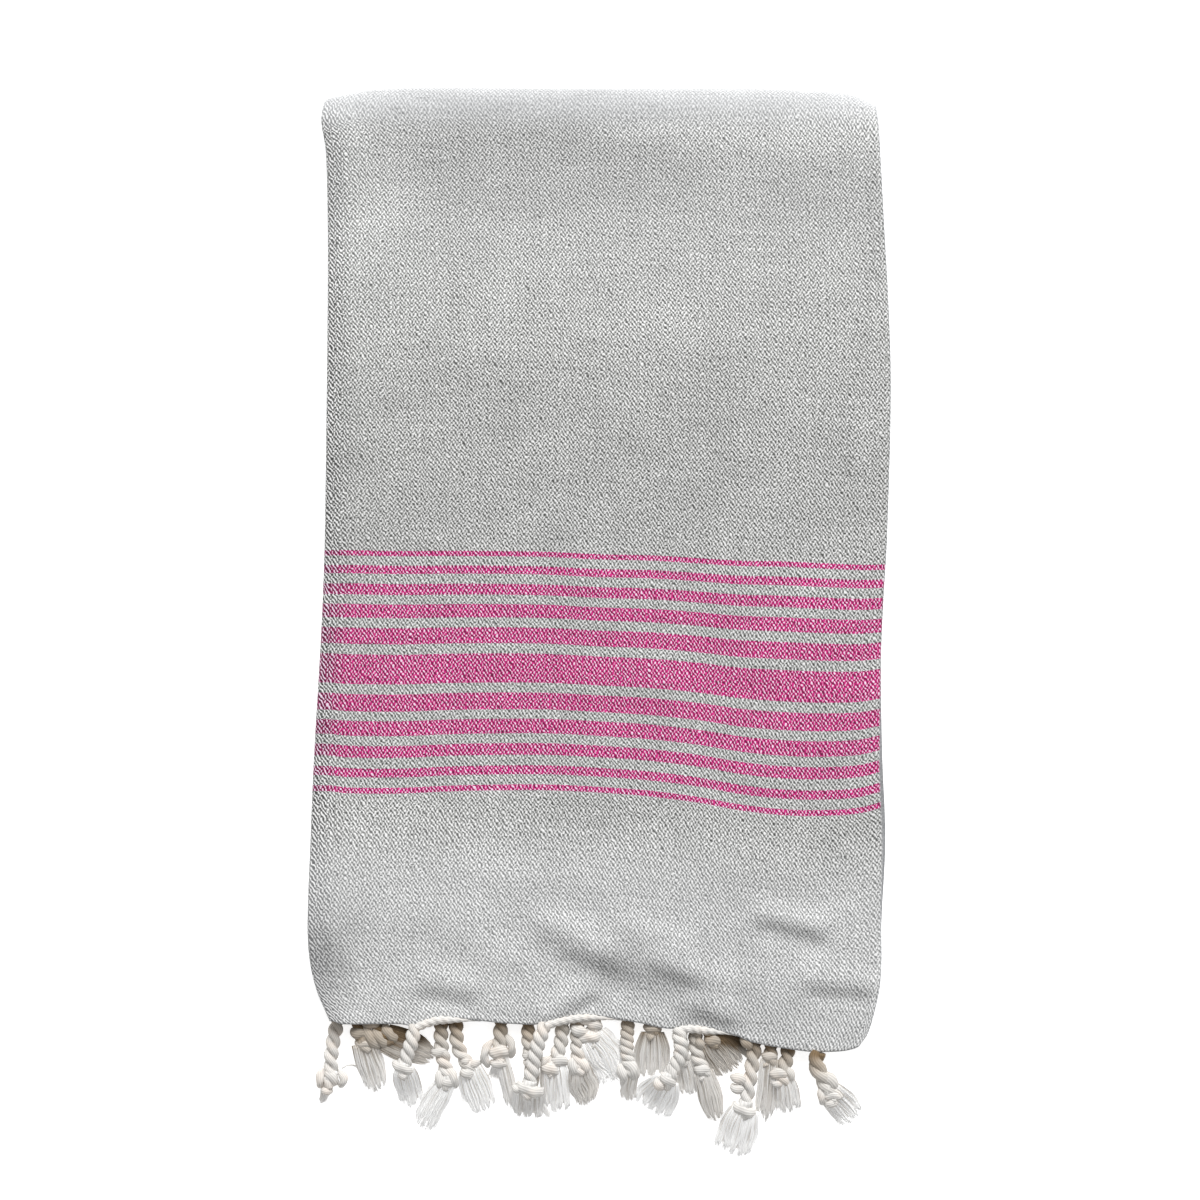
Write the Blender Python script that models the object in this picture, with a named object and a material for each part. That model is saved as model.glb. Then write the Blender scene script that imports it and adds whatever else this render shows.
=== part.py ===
"""A hammam towel, folded in half across its width and once more across its length, lying front up.

One woven cloth makes four layers. From the top down they are the front (A), the layer folded
under it (B), and, past the fold at the top, B's far half (C) and the front's far half (D), which
lies on the surface. Each layer ends in a hem with knotted tassels.

Lengths in the tables are millimetres. X runs to the towel's right, Y from its tassels to its top
fold, and Z up. The origin is the middle of the underside of the whole.
"""

import math
from collections import namedtuple

import bmesh
import bpy
from mathutils import Vector

MM = 0.001

# The cloth, and how its layers lie.
CLOTH_THICK = 1.5
LAYER_AIR = 1.3
HALF_PITCH = (CLOTH_THICK + LAYER_AIR) / 2
ROLL_SWELL = 1.6  # how much more the left fold's two layers part than they do elsewhere, each way
ROLL_PEAK = 10.0  # how far in from the left fold they part most
ROLL_WIDE = 20.0
ROLL_REACH = 3.5  # how far the left fold's round end reaches
FOLD_INSET = CLOTH_THICK / 2 + ROLL_REACH
ROLL_COLUMNS = (17.0, 28.0, 45.0)
TOP_RADIUS = 5.0  # of the open loop between the inner layers at the top fold
TOP_RISE = 95.0  # the stretch over which the front climbs to the top fold
HEM_LIFT = 2.6  # how much the tassels under the front hem lift it
HEM_LIFT_REACH = 55.0
HEM_INSET = {"A": 0.0, "B": 7.0, "C": 10.0, "D": 8.5}
SELVEDGE_BEHIND = 3.5  # how far the front's selvedge steps back beside the stripes
SELVEDGE_STEP_AT = -165.0
SELVEDGE_STEP_WIDE = 85.0

# The folded towel's left fold and right selvedge.
Side = namedtuple("Side", "y left right")
SIDES = (
    Side(-376.0, -234.0, 231.0),
    Side(-365.0, -236.0, 237.4),
    Side(-352.0, -239.6, 242.0),
    Side(-325.0, -250.9, 248.2),
    Side(-298.0, -257.1, 250.6),
    Side(-265.0, -259.0, 250.6),
    Side(-192.0, -256.4, 254.2),
    Side(-120.0, -253.4, 251.4),
    Side(-32.0, -248.2, 250.2),
    Side(20.0, -245.6, 252.0),
    Side(75.0, -243.8, 255.2),
    Side(206.0, -242.0, 258.6),
    Side(286.0, -241.2, 256.4),
    Side(366.0, -241.2, 251.8),
    Side(418.0, -242.2, 248.4),
    Side(445.0, -246.2, 246.6),
    Side(466.0, -243.0, 243.6),
)

# The front hem, and the top fold's outer line.
Edge = namedtuple("Edge", "x y")
HEM = (
    Edge(-235.3, -352.5),
    Edge(-228.0, -355.0),
    Edge(-176.0, -355.8),
    Edge(-166.0, -357.2),
    Edge(-154.0, -353.0),
    Edge(-141.0, -349.8),
    Edge(-106.0, -352.8),
    Edge(-79.0, -355.4),
    Edge(-53.0, -355.6),
    Edge(-35.0, -351.0),
    Edge(-13.0, -348.0),
    Edge(5.0, -349.6),
    Edge(36.0, -354.8),
    Edge(62.0, -359.8),
    Edge(82.0, -357.6),
    Edge(120.0, -365.5),
    Edge(134.0, -371.4),
    Edge(168.0, -377.8),
    Edge(195.0, -380.4),
    Edge(228.0, -376.8),
    Edge(237.0, -366.0),
)
TOP = (
    Edge(-243.0, 465.0),
    Edge(-221.0, 470.8),
    Edge(-198.0, 473.6),
    Edge(-165.0, 475.0),
    Edge(0.0, 474.2),
    Edge(120.0, 474.2),
    Edge(178.0, 472.6),
    Edge(222.0, 468.8),
    Edge(243.6, 459.0),
)

# Soft ridges across the front: from one end to the other, half their width, and their height.
Crease = namedtuple("Crease", "x1 y1 x2 y2 wide high")
CREASES = (
    Crease(150, -256, 204, -262, 16, 3.6),
    Crease(-34, -283, 10, -300, 15, 2.6),
    Crease(36, -276, 88, -282, 15, 3.0),
    Crease(-152, -318, -118, -328, 14, 2.4),
    Crease(-46, -346, -8, -322, 12, 2.6),
    Crease(84, -338, 112, -348, 12, 2.8),
    Crease(188, -318, 234, -323, 13, 2.6),
    Crease(-236, -270, -222, -322, 16, 2.2),
    Crease(-36, 92, 2, 12, 26, 1.4),
    Crease(120, 380, 122, 250, 30, 1.4),
)

# Rows of the cloth's grid: shares of each straight stretch, and degrees round the top fold.
FRONT_ROWS = (0, 0.008, 0.025, 0.05, 0.08, 0.11, 0.14, 0.18, 0.24, 0.32, 0.4, 0.49, 0.58, 0.67,
              0.76, 0.83, 0.88, 0.915, 0.945, 0.975)
TOP_ROWS = (90, 60, 30, 0, -30, -60, -90)
BACK_ROWS = (0.93, 0.8, 0.65, 0.5, 0.35, 0.2, 0.08, 0)
FOLD_ROWS = (90, 45, 0, -45, -90)

# A tassel: its layer, then where its cord starts on the hem, passes and knots, where its tuft
# ends, the tuft's spread, the knot's size, and how high the cord, the knot and the tuft's end lie.
FLOOR_CORD = 4.9
FLOOR_KNOT = 6.5
FLOOR_TUFT = 2.85
UPPER_CORD = 14.4
UPPER_KNOT = 13.2
Tassel = namedtuple(
    "Tassel", "layer root_x mid_x mid_y knot_x knot_y tip_x tip_y spread knot cord_z knot_z tip_z",
    defaults=(FLOOR_CORD, FLOOR_KNOT, FLOOR_TUFT),
)
TASSELS = (
    Tassel("B", -231.0, -236.4, -379.7, -236.7, -403.6, -245.6, -424.8, 12, 1.0),
    Tassel("C", -214.6, -214.6, -361.1, -211.1, -371.7, -196.9, -413.3, 27, 1.0),
    Tassel("D", -198.7, -196.9, -360.2, -189.8, -369.0, -150.0, -384.1, 21, 0.9),
    Tassel("A", -165.1, -165.1, -372.6, -173.0, -394.7, -165.1, -427.5, 21, 1.0, UPPER_CORD, UPPER_KNOT),
    Tassel("C", -141.2, -140.3, -377.9, -135.8, -404.4, -158.0, -446.0, 18, 1.0),
    Tassel("D", -127.9, -126.1, -374.4, -113.7, -395.6, -100.4, -431.0, 25, 0.95),
    Tassel("D", -87.2, -88.1, -367.3, -89.8, -380.6, -76.6, -429.2, 18, 1.05),
    Tassel("C", -63.3, -63.3, -371.7, -60.6, -386.7, -59.7, -415.1, 12, 0.65),
    Tassel("A", -48.2, -55.3, -376.1, -64.2, -408.0, -63.3, -439.0, 30, 1.1, UPPER_CORD, UPPER_KNOT),
    Tassel("B", -32.3, -34.1, -370.8, -42.0, -392.9, -39.4, -431.0, 21, 1.0),
    Tassel("B", -3.0, -3.0, -361.1, -3.4, -369.0, 8.0, -416.8, 25, 1.0),
    Tassel("D", -19.9, -19.9, -373.5, -19.9, -396.5, -11.1, -431.9, 23, 0.85),
    Tassel("C", 26.1, 24.3, -372.6, 27.9, -392.1, 25.2, -415.1, 12, 0.8),
    Tassel("D", 41.2, 44.7, -358.4, 47.3, -366.4, 47.3, -400.0, 21, 0.75),
    Tassel("A", 69.5, 72.1, -380.6, 60.6, -403.6, 42.9, -431.0, 35, 1.05, UPPER_CORD, UPPER_KNOT),
    Tassel("D", 72.1, 72.1, -373.5, 74.8, -386.7, 78.3, -416.8, 11, 0.65),
    Tassel("D", 98.4, 99.3, -363.7, 100.2, -372.6, 118.1, -402.7, 19, 0.95),
    Tassel("C", 86.3, 85.4, -377.9, 92.5, -398.2, 101.3, -436.3, 18, 0.82),
    Tassel("B", 139.4, 135.8, -391.2, 128.8, -429.2, 118.1, -470.8, 34, 1.1),
    Tassel("D", 153.5, 152.7, -377.9, 150.9, -388.5, 147.4, -437.2, 16, 0.7),
    Tassel("C", 167.7, 166.8, -386.7, 165.1, -402.7, 167.7, -431.9, 21, 0.9),
    Tassel("A", 194.3, 192.5, -391.2, 204.0, -416.8, 226.1, -440.7, 25, 1.0),
)

# How a tassel is made: a flat root at the hem, a cord of two plies, a knot and a tuft of locks.
ROOT_GAP = 0.5
ROOT_HALF_WIDE = 5.4
ROOT_HALF_HIGH = 0.7
ROOT_LONG = 13.0
ROOT_RINGS = (0.0, 0.45, 1.0)  # shares of the root's length
ROOT_PROBES = 4  # places each side of a root's middle where it is held clear of its hem
CORD_HALF_WIDE = 5.2
CORD_HALF_HIGH = 3.8
PLY_LOBE = 0.2  # how far two plies side by side swell and draw in the cord's outline
PLY_PITCH = 26.0
CORD_STEP = 6.0
CORD_SHORTEST = 2.0  # a cord shorter than this past its root has no ring of its own
KNOT_HALF_LONG = 9.5
KNOT_HALF_WIDE = 9.8
KNOT_HALF_HIGH = 6.0
KNOT_LOBE = 0.06
NECK_HALF_WIDE = 6.4
NECK_HALF_HIGH = 3.2
KNOT_RINGS = ((-0.6, 0.84), (-0.1, 1.0), (0.45, 0.95), (0.85, 0.76))  # place along it, and size
RING_POINTS = 12
LOCK_COLUMNS = 4
LOCK_STEPS = (0.35, 0.72, 1.0)
LOCK_HALF_HIGH = 1.3
LOCK_AIR = 0.4
LOCK_FULL = 0.92  # a lock's width over its share of the tuft
LOCK_STAGGER = 0.5  # how far the two rows slide apart sideways, each way, over a lock's half share
LOCK_TAPER = 0.74
LOCK_UNEVEN = 0.08  # a lock ends short of the tuft's tip by up to twice this share of its length
LOCK_UNEVEN_TURN = 2.4  # radians from one lock's shortness to the next one's
LOCK_SETTLES = 1.3  # a lock is down at its level before its end, by this much

# Colours and roughness.
CLOTH_GREY = (0.52, 0.53, 0.5)
CLOTH_ROUGHNESS = 0.9
YARN_CREAM = (0.83, 0.81, 0.76)
YARN_ROUGHNESS = 0.85


def blend(a, b, share):
    return a + (b - a) * share


def ease(share):
    """0 to 1 with level ends, and held at each end beyond them."""
    share = min(max(share, 0.0), 1.0)
    return share * share * (3 - 2 * share)


def bump(distance, wide):
    return math.exp(-((distance / wide) ** 2))


def read(rows, key, column, at):
    """A table's column at any place along its key, on a smooth line through the rows."""
    keys = [getattr(row, key) for row in rows]
    values = [getattr(row, column) for row in rows]
    at = min(max(at, keys[0]), keys[-1])
    i = next(k for k in range(len(keys) - 1) if at <= keys[k + 1])
    slopes = [
        (values[min(k + 1, len(keys) - 1)] - values[max(k - 1, 0)])
        / (keys[min(k + 1, len(keys) - 1)] - keys[max(k - 1, 0)])
        for k in (i, i + 1)
    ]
    step = keys[i + 1] - keys[i]
    share = (at - keys[i]) / step
    level = blend(values[i], values[i + 1], ease(share))
    lean_in = slopes[0] * step * share * (1 - share) ** 2
    lean_out = slopes[1] * step * share**2 * (1 - share)
    return level + lean_in - lean_out


def read_straight(rows, key, column, at):
    """The same on straight lines between the rows."""
    at = min(max(at, getattr(rows[0], key)), getattr(rows[-1], key))
    a, b = next(pair for pair in zip(rows, rows[1:]) if at <= getattr(pair[1], key))
    share = (at - getattr(a, key)) / (getattr(b, key) - getattr(a, key))
    return blend(getattr(a, column), getattr(b, column), share)


def left_at(y):
    return read(SIDES, "y", "left", y)


def right_at(y):
    return read(SIDES, "y", "right", y)


def hem_ends(layer):
    """The x of a layer's hem at the selvedge and beside the left fold."""
    right = right_at(HEM[-1].y + HEM_INSET[layer])
    left = left_at(HEM[0].y + HEM_INSET[layer]) + FOLD_INSET
    return right, left


def hem_y(layer, share):
    """How far down a layer's hem reaches, at a share of the width from its selvedge."""
    return read_straight(HEM, "x", "y", blend(HEM[-1].x, HEM[0].x, share)) + HEM_INSET[layer]


def hem_at(layer, x):
    right, left = hem_ends(layer)
    return hem_y(layer, (right - x) / (right - left))


def half_pitch(from_left):
    """Half the distance between a folded pair's two layers, which part near their left fold."""
    return HALF_PITCH + ROLL_SWELL * bump(from_left - ROLL_PEAK, ROLL_WIDE)


def crease_lift(x, y):
    total = 0.0
    for crease in CREASES:
        along_x, along_y = crease.x2 - crease.x1, crease.y2 - crease.y1
        share = (x - crease.x1) * along_x + (y - crease.y1) * along_y
        share = min(max(share / (along_x**2 + along_y**2), 0.0), 1.0)
        away = math.hypot(x - crease.x1 - share * along_x, y - crease.y1 - share * along_y)
        total += crease.high * bump(away, crease.wide)
    return total


def front_lift(x, y):
    """How far the front pair is raised by its creases and by the tassels under its hem."""
    above_hem = y - hem_at("A", x)
    return HEM_LIFT * bump(max(above_hem, 0.0), HEM_LIFT_REACH) + crease_lift(x, y)


def layer_height(layer, x, y):
    """The height of a layer's middle on the straight part of the towel."""
    half = half_pitch(x - left_at(y))
    far = CLOTH_THICK / 2
    heights = {"D": far, "C": far + 2 * half}
    heights["B"] = heights["C"] + 2 * HALF_PITCH + front_lift(x, y)
    heights["A"] = heights["B"] + 2 * half
    return heights[layer]


def cloth_columns():
    """(share of the width from the selvedge to the left fold, degrees round the left fold)."""
    wide = HEM[-1].x - HEM[0].x
    shares = [(HEM[-1].x - edge.x) / wide for edge in HEM[1:]]
    shares += [1 - reach / wide for reach in ROLL_COLUMNS]
    shares = sorted(shares)
    outer = [(share, 90) for share in shares]
    inner = [(share, -90) for share in reversed(shares)]
    return outer + [(1.0, degrees) for degrees in FOLD_ROWS] + inner


def loop_at(share, outermost):
    """Where the top fold's open loop has its middle, at a share of the width."""
    top_x = blend(TOP[-1].x, TOP[0].x, share)
    return read(TOP, "x", "y", top_x) - TOP_RADIUS - outermost - CLOTH_THICK / 2


def level_y(layer, share, stretch, place, offset, outermost):
    """How far up the cloth a row lies, at a share of the width."""
    loop_y = loop_at(share, outermost)
    if stretch == "top":
        return loop_y + (TOP_RADIUS + offset) * math.cos(math.radians(place))
    return blend(hem_y(layer, share), loop_y, place)


def cloth_point(column, stretch, place):
    """A point of the cloth's middle: a column, and a place on the front, top or back stretch."""
    share, round_left = column
    outward = (1 + math.sin(math.radians(round_left))) / 2
    layer = {"front": "BA", "top": "BA", "back": "CD"}[stretch][outward > 0.5]
    from_left = ROLL_REACH + (1 - share) * (HEM[-1].x - HEM[0].x)
    pair_wide = 2 * half_pitch(from_left)
    outermost = HALF_PITCH + pair_wide
    offset = HALF_PITCH + pair_wide * outward
    y, y_left, y_right = (
        level_y(layer, at, stretch, place, offset, outermost) for at in (share, 1.0, 0.0)
    )
    step_back = SELVEDGE_BEHIND * bump(y - SELVEDGE_STEP_AT, SELVEDGE_STEP_WIDE)
    right = right_at(y_right) - (step_back if layer in "AB" else 0.0)
    x = blend(right, left_at(y_left) + FOLD_INSET, share)
    x -= ROLL_REACH * math.cos(math.radians(round_left))
    between = CLOTH_THICK / 2 + outermost
    if stretch == "top":
        z = between + TOP_RADIUS + (TOP_RADIUS + offset) * math.sin(math.radians(place))
    else:
        z = between + (offset if stretch == "front" else -offset)
    if stretch == "front":
        to_loop = loop_at(share, outermost) - y
        z += 2 * TOP_RADIUS * ease(1 - to_loop / TOP_RISE) + front_lift(x, y)
    return Vector((x, y, z)) * MM


def cloth_rows():
    rows = [("front", share) for share in FRONT_ROWS]
    rows += [("top", degrees) for degrees in TOP_ROWS]
    return rows + [("back", share) for share in BACK_ROWS]


def make_cloth(material):
    """A flat grid laid back and forth into four layers, and given its thickness."""
    columns = cloth_columns()
    rows = cloth_rows()
    bm = bmesh.new()
    bmesh.ops.create_grid(bm, x_segments=len(columns) - 1, y_segments=len(rows) - 1, size=0.5)
    for vert in bm.verts:
        column = columns[round((vert.co.x + 0.5) * (len(columns) - 1))]
        row = rows[round((vert.co.y + 0.5) * (len(rows) - 1))]
        vert.co = cloth_point(column, *row)
    cloth = finish_object("towel_cloth", bm, material)
    thick = cloth.modifiers.new("Thickness", "SOLIDIFY")
    thick.thickness = CLOTH_THICK * MM
    thick.offset = 0


class Route:
    """A smooth line through a few points, read by the distance along it."""

    POINTS_PER_STRETCH = 16

    def __init__(self, points):
        ends = [2 * points[0] - points[1], *points, 2 * points[-1] - points[-2]]
        self.points = []
        for i in range(1, len(ends) - 2):
            for step in range(self.POINTS_PER_STRETCH):
                self.points.append(self.between(ends[i - 1 : i + 3], step / self.POINTS_PER_STRETCH))
        self.points.append(points[-1])
        self.marks = [0.0]
        for a, b in zip(self.points, self.points[1:]):
            self.marks.append(self.marks[-1] + (b - a).length)

    @staticmethod
    def between(four, t):
        a, b, c, d = four
        bend = 2 * a - 5 * b + 4 * c - d
        twist = 3 * (b - c) + d - a
        return 0.5 * (2 * b + (c - a) * t + bend * t**2 + twist * t**3)

    @property
    def long(self):
        return self.marks[-1]

    def at(self, distance):
        """The point there, and the direction that the line runs in."""
        distance = min(max(distance, 0.0), self.long)
        i = next(k for k in range(len(self.marks) - 1) if distance <= self.marks[k + 1])
        run = self.points[i + 1] - self.points[i]
        share = (distance - self.marks[i]) / (self.marks[i + 1] - self.marks[i])
        return self.points[i] + run * share, run.normalized()


def root_on_hem(layer, x):
    """Where a tassel's root lies just clear of its hem, and the way it runs, leftwards."""
    rise = hem_at(layer, x - ROOT_HALF_WIDE) - hem_at(layer, x + ROOT_HALF_WIDE)
    slope = -rise / (2 * ROOT_HALF_WIDE)
    offs = [ROOT_HALF_WIDE * k / ROOT_PROBES for k in range(-ROOT_PROBES, ROOT_PROBES + 1)]
    y = min(hem_at(layer, x + off) - slope * off for off in offs) - ROOT_GAP
    return flat(x, y), flat(-1, -slope).normalized()


def flat(x, y):
    return Vector((x, y, 0))


class TasselForm:
    """The line that a tassel follows from hem to neck, and its section at each station."""

    def __init__(self, tassel):
        self.tassel = tassel
        root, self.root_across = root_on_hem(tassel.layer, tassel.root_x)
        self.root_z = layer_height(tassel.layer, tassel.root_x, root.y)
        knot = flat(tassel.knot_x, tassel.knot_y)
        self.tip = flat(tassel.tip_x, tassel.tip_y)
        half_long = KNOT_HALF_LONG * tassel.knot
        neck = knot + (self.tip - knot).normalized() * half_long
        self.route = Route([root, flat(tassel.mid_x, tassel.mid_y), knot, neck])
        self.knot_at = self.route.long - half_long
        self.cord_end = self.knot_at - half_long
        self.root_long = min(ROOT_LONG, self.cord_end)
        self.half_long = half_long

    def height(self, distance):
        tassel = self.tassel
        if distance < self.root_long:
            return blend(self.root_z, tassel.cord_z, ease(distance / self.root_long))
        past = (distance - self.root_long) / max(self.knot_at - self.root_long, 1.0)
        return blend(tassel.cord_z, self.knot_z, ease(past))

    @property
    def knot_z(self):
        if self.tassel.knot_z > FLOOR_KNOT:
            return self.tassel.knot_z
        return FLOOR_KNOT - KNOT_HALF_HIGH * (1 - self.tassel.knot) * (1 + KNOT_LOBE)

    def stations(self):
        """(distance, half width, half height, lobe) of each ring."""
        rings = []
        for share in ROOT_RINGS:
            grown = ease(share)
            wide = blend(ROOT_HALF_WIDE, CORD_HALF_WIDE, grown)
            high = blend(ROOT_HALF_HIGH, CORD_HALF_HIGH, grown)
            rings.append((share * self.root_long, wide, high, PLY_LOBE * grown))
        cord_long = self.cord_end - self.root_long
        if cord_long > CORD_SHORTEST:
            steps = max(1, round(cord_long / CORD_STEP))
            for step in range(1, steps + 1):
                place = blend(self.root_long, self.cord_end, step / steps)
                rings.append((place, CORD_HALF_WIDE, CORD_HALF_HIGH, PLY_LOBE))
        for share, grown in KNOT_RINGS:
            place = self.knot_at + share * self.half_long
            size = grown * self.tassel.knot
            rings.append((place, KNOT_HALF_WIDE * size, KNOT_HALF_HIGH * size, KNOT_LOBE))
        rings.append((self.route.long, NECK_HALF_WIDE, NECK_HALF_HIGH, 0.0))
        return rings

    def frame(self, distance):
        """The line's point there, and the level direction across it."""
        point, along = self.route.at(distance)
        across = along.cross(Vector((0, 0, 1))).normalized()
        if distance < self.root_long:
            across = self.root_across.lerp(across, distance / self.root_long).normalized()
        return point + Vector((0, 0, self.height(distance))), across


def split_neck(bm, cap):
    """Parts the neck's end face into two rows of cells, one for each lock."""
    walls = set(bm.faces) - {cap}
    ring = list(cap.verts)
    half_way = RING_POINTS // 2
    right, left = ring[0], ring[half_way]
    middles = [left.co.lerp(right.co, k / LOCK_COLUMNS) for k in range(1, LOCK_COLUMNS)]
    bmesh.utils.face_split(cap, left, right, coords=middles)
    row = [vert for vert in bm.verts if vert not in ring and vert.link_faces[0] not in walls]
    row.sort(key=lambda vert: (vert.co - left.co).length)
    for k, middle in enumerate(row, start=1):
        for rim in (ring[half_way - 1 - k], ring[half_way + 1 + k]):
            shared = next(f for f in middle.link_faces if rim in f.verts and f not in walls)
            bmesh.utils.face_split(shared, middle, rim)
    return [face for face in bm.faces if face not in walls]


def grow_lock(bm, cell, number, form, neck, across):
    """Draws one cell of the neck out into a lock that comes to rest at the tuft's level."""
    tassel = form.tassel
    centre = cell.calc_center_median()
    upper = centre.z > neck.z
    column = (centre - neck).dot(across) / NECK_HALF_WIDE
    corners = [
        (
            math.copysign(1, (vert.co - centre).dot(across)),
            math.copysign(1, vert.co.z - centre.z),
        )
        for vert in cell.verts
    ]
    start = flat(neck.x, neck.y)
    reach = form.tip - start
    along = across.cross(Vector((0, 0, 1)))
    bend = start - along * reach.length / 2
    rest = LOCK_HALF_HIGH + LOCK_AIR / 2
    end_z = tassel.tip_z + (rest if upper else -rest)
    half_start = NECK_HALF_WIDE / LOCK_COLUMNS
    half_end = tassel.spread / 2 / LOCK_COLUMNS
    long = 1 - LOCK_UNEVEN * (1 + math.sin(LOCK_UNEVEN_TURN * number + tassel.root_x))
    for share in LOCK_STEPS:
        gone = share * long
        middle = start.lerp(bend, gone).lerp(bend.lerp(form.tip, gone), gone)
        run = (bend - start).lerp(form.tip - bend, gone)
        side = run.cross(Vector((0, 0, 1))).normalized()
        half_share = blend(half_start, half_end, share)
        off = column * half_share * LOCK_COLUMNS
        off += (LOCK_STAGGER if upper else -LOCK_STAGGER) * half_share * share
        taper = blend(1.0, LOCK_TAPER, ease(share))
        half_wide = half_share * LOCK_FULL * taper
        half_high = LOCK_HALF_HIGH * taper
        z = blend(centre.z, end_z, ease(share * LOCK_SETTLES)) - (LOCK_HALF_HIGH - half_high)
        cell = bmesh.ops.extrude_discrete_faces(bm, faces=[cell])["faces"][0]
        for vert, (a, b) in zip(cell.verts, corners):
            vert.co = middle + side * (off + a * half_wide) + Vector((0, 0, z + b * half_high))


def make_tassel(number, tassel, material):
    """One closed body: a ring at the hem, drawn out along the cord, the knot and the locks."""
    form = TasselForm(tassel)
    bm = bmesh.new()
    bmesh.ops.create_circle(bm, cap_ends=True, segments=RING_POINTS, radius=1.0)
    cap = bm.faces[:][0]
    for k, (distance, half_wide, half_high, lobe) in enumerate(form.stations()):
        if k:
            cap = bmesh.ops.extrude_discrete_faces(bm, faces=[cap])["faces"][0]
        centre, across = form.frame(distance)
        turn = 2 * math.pi * distance / PLY_PITCH
        for i, vert in enumerate(cap.verts):
            angle = 2 * math.pi * i / RING_POINTS
            swell = 1 + lobe * math.cos(2 * (angle - turn))
            level = Vector((0, 0, half_high * swell * math.sin(angle)))
            vert.co = centre + across * (half_wide * swell * math.cos(angle)) + level
    neck, across = form.frame(form.route.long)
    for i, cell in enumerate(split_neck(bm, cap)):
        grow_lock(bm, cell, i, form, neck, across)
    bmesh.ops.holes_fill(bm, edges=[edge for edge in bm.edges if edge.is_boundary])
    bmesh.ops.scale(bm, vec=(MM, MM, MM), verts=bm.verts)
    bmesh.ops.recalc_face_normals(bm, faces=bm.faces)
    return finish_object(f"tassel_{number:02d}", bm, material)


def finish_object(name, bm, material):
    mesh = bpy.data.meshes.new(name)
    bm.to_mesh(mesh)
    bm.free()
    mesh.shade_smooth()
    mesh.materials.append(material)
    made = bpy.data.objects.new(name, mesh)
    bpy.context.scene.collection.objects.link(made)
    return made


def plain_material(name, colour, roughness):
    material = bpy.data.materials.new(name)
    material.use_nodes = True
    shader = material.node_tree.nodes["Principled BSDF"]
    shader.inputs["Base Color"].default_value = (*colour, 1)
    shader.inputs["Roughness"].default_value = roughness
    shader.inputs["Metallic"].default_value = 0
    return material


def main():
    for old in list(bpy.data.objects):
        bpy.data.objects.remove(old, do_unlink=True)
    make_cloth(plain_material("Woven grey cotton", CLOTH_GREY, CLOTH_ROUGHNESS))
    natural = plain_material("Natural cotton yarn", YARN_CREAM, YARN_ROUGHNESS)
    for number, tassel in enumerate(TASSELS, start=1):
        make_tassel(number, tassel, natural)


main()
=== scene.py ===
"""The looks of a folded hammam towel: its woven cloth with stripes and creases, and its tassels.

The cloth is one thin sheet laid in four layers. From the top down they are the front (A), the layer
folded under it (B), and, past the fold at the top, B's far half (C) and the front's far half (D).
Each tassel is two twisted plies, a knot and a tuft of loose yarns.

Lengths in the tables and classes are millimetres, as a maker would measure the towel, and become
metres where a mesh is made. X runs to the towel's right, Y from its tassels to its top fold, Z up.
"""

import logging
import math
from dataclasses import dataclass, field
from enum import Enum
from functools import lru_cache
from typing import Any, NamedTuple, Sequence, Union

import bmesh
import bpy
import numpy as np
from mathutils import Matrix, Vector, noise


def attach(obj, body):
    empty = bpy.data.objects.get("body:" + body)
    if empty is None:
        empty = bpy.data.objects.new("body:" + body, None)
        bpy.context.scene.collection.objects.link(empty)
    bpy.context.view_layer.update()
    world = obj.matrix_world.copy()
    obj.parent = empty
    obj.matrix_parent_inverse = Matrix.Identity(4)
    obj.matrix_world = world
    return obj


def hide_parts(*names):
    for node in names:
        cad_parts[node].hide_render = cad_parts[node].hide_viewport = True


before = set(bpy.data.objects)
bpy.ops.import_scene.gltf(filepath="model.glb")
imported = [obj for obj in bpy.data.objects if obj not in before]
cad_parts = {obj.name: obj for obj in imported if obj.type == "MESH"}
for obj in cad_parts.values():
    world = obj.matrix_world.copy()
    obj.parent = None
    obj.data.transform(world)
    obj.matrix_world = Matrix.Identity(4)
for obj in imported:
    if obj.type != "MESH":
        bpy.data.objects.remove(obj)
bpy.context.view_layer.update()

LOG = logging.getLogger("towel")
MM = 0.001
BODY = "root"
WEAVE_UV = "Weave"
YARN_UV = "Yarn"
ROOT_SHADE = "RootShade"
BOUND = "Bound"
RIM = "Rim"


# ---------------------------------------------------------------- tables read off the towel


class Side(NamedTuple):
    """The folded towel's left fold and right selvedge, at one place up its length."""

    y: float
    left: float
    right: float


class Edge(NamedTuple):
    """A point of an edge that runs across the towel."""

    x: float
    y: float


class Crease(NamedTuple):
    """A soft ridge, or a trough where high is below zero, from one end to the other."""

    x1: float
    y1: float
    x2: float
    y2: float
    wide: float
    high: float


class Weft(NamedTuple):
    """How far up the striped band's first and last weft lines lie, at one place across."""

    x: float
    last: float
    first: float


class PaintedLightPatch(NamedTuple):
    """A soft patch of painted light on the cloth's creases and folds, or of painted shade where its tone is
    below zero.
    """

    from_selvedge: float
    along: float
    wide: float
    tall: float
    tone: float


def table(kind: type, rows: Sequence[tuple[float, ...]]) -> tuple[Any, ...]:
    """A table, with each of its rows given its columns' names."""
    return tuple(kind(*row) for row in rows)


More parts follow.
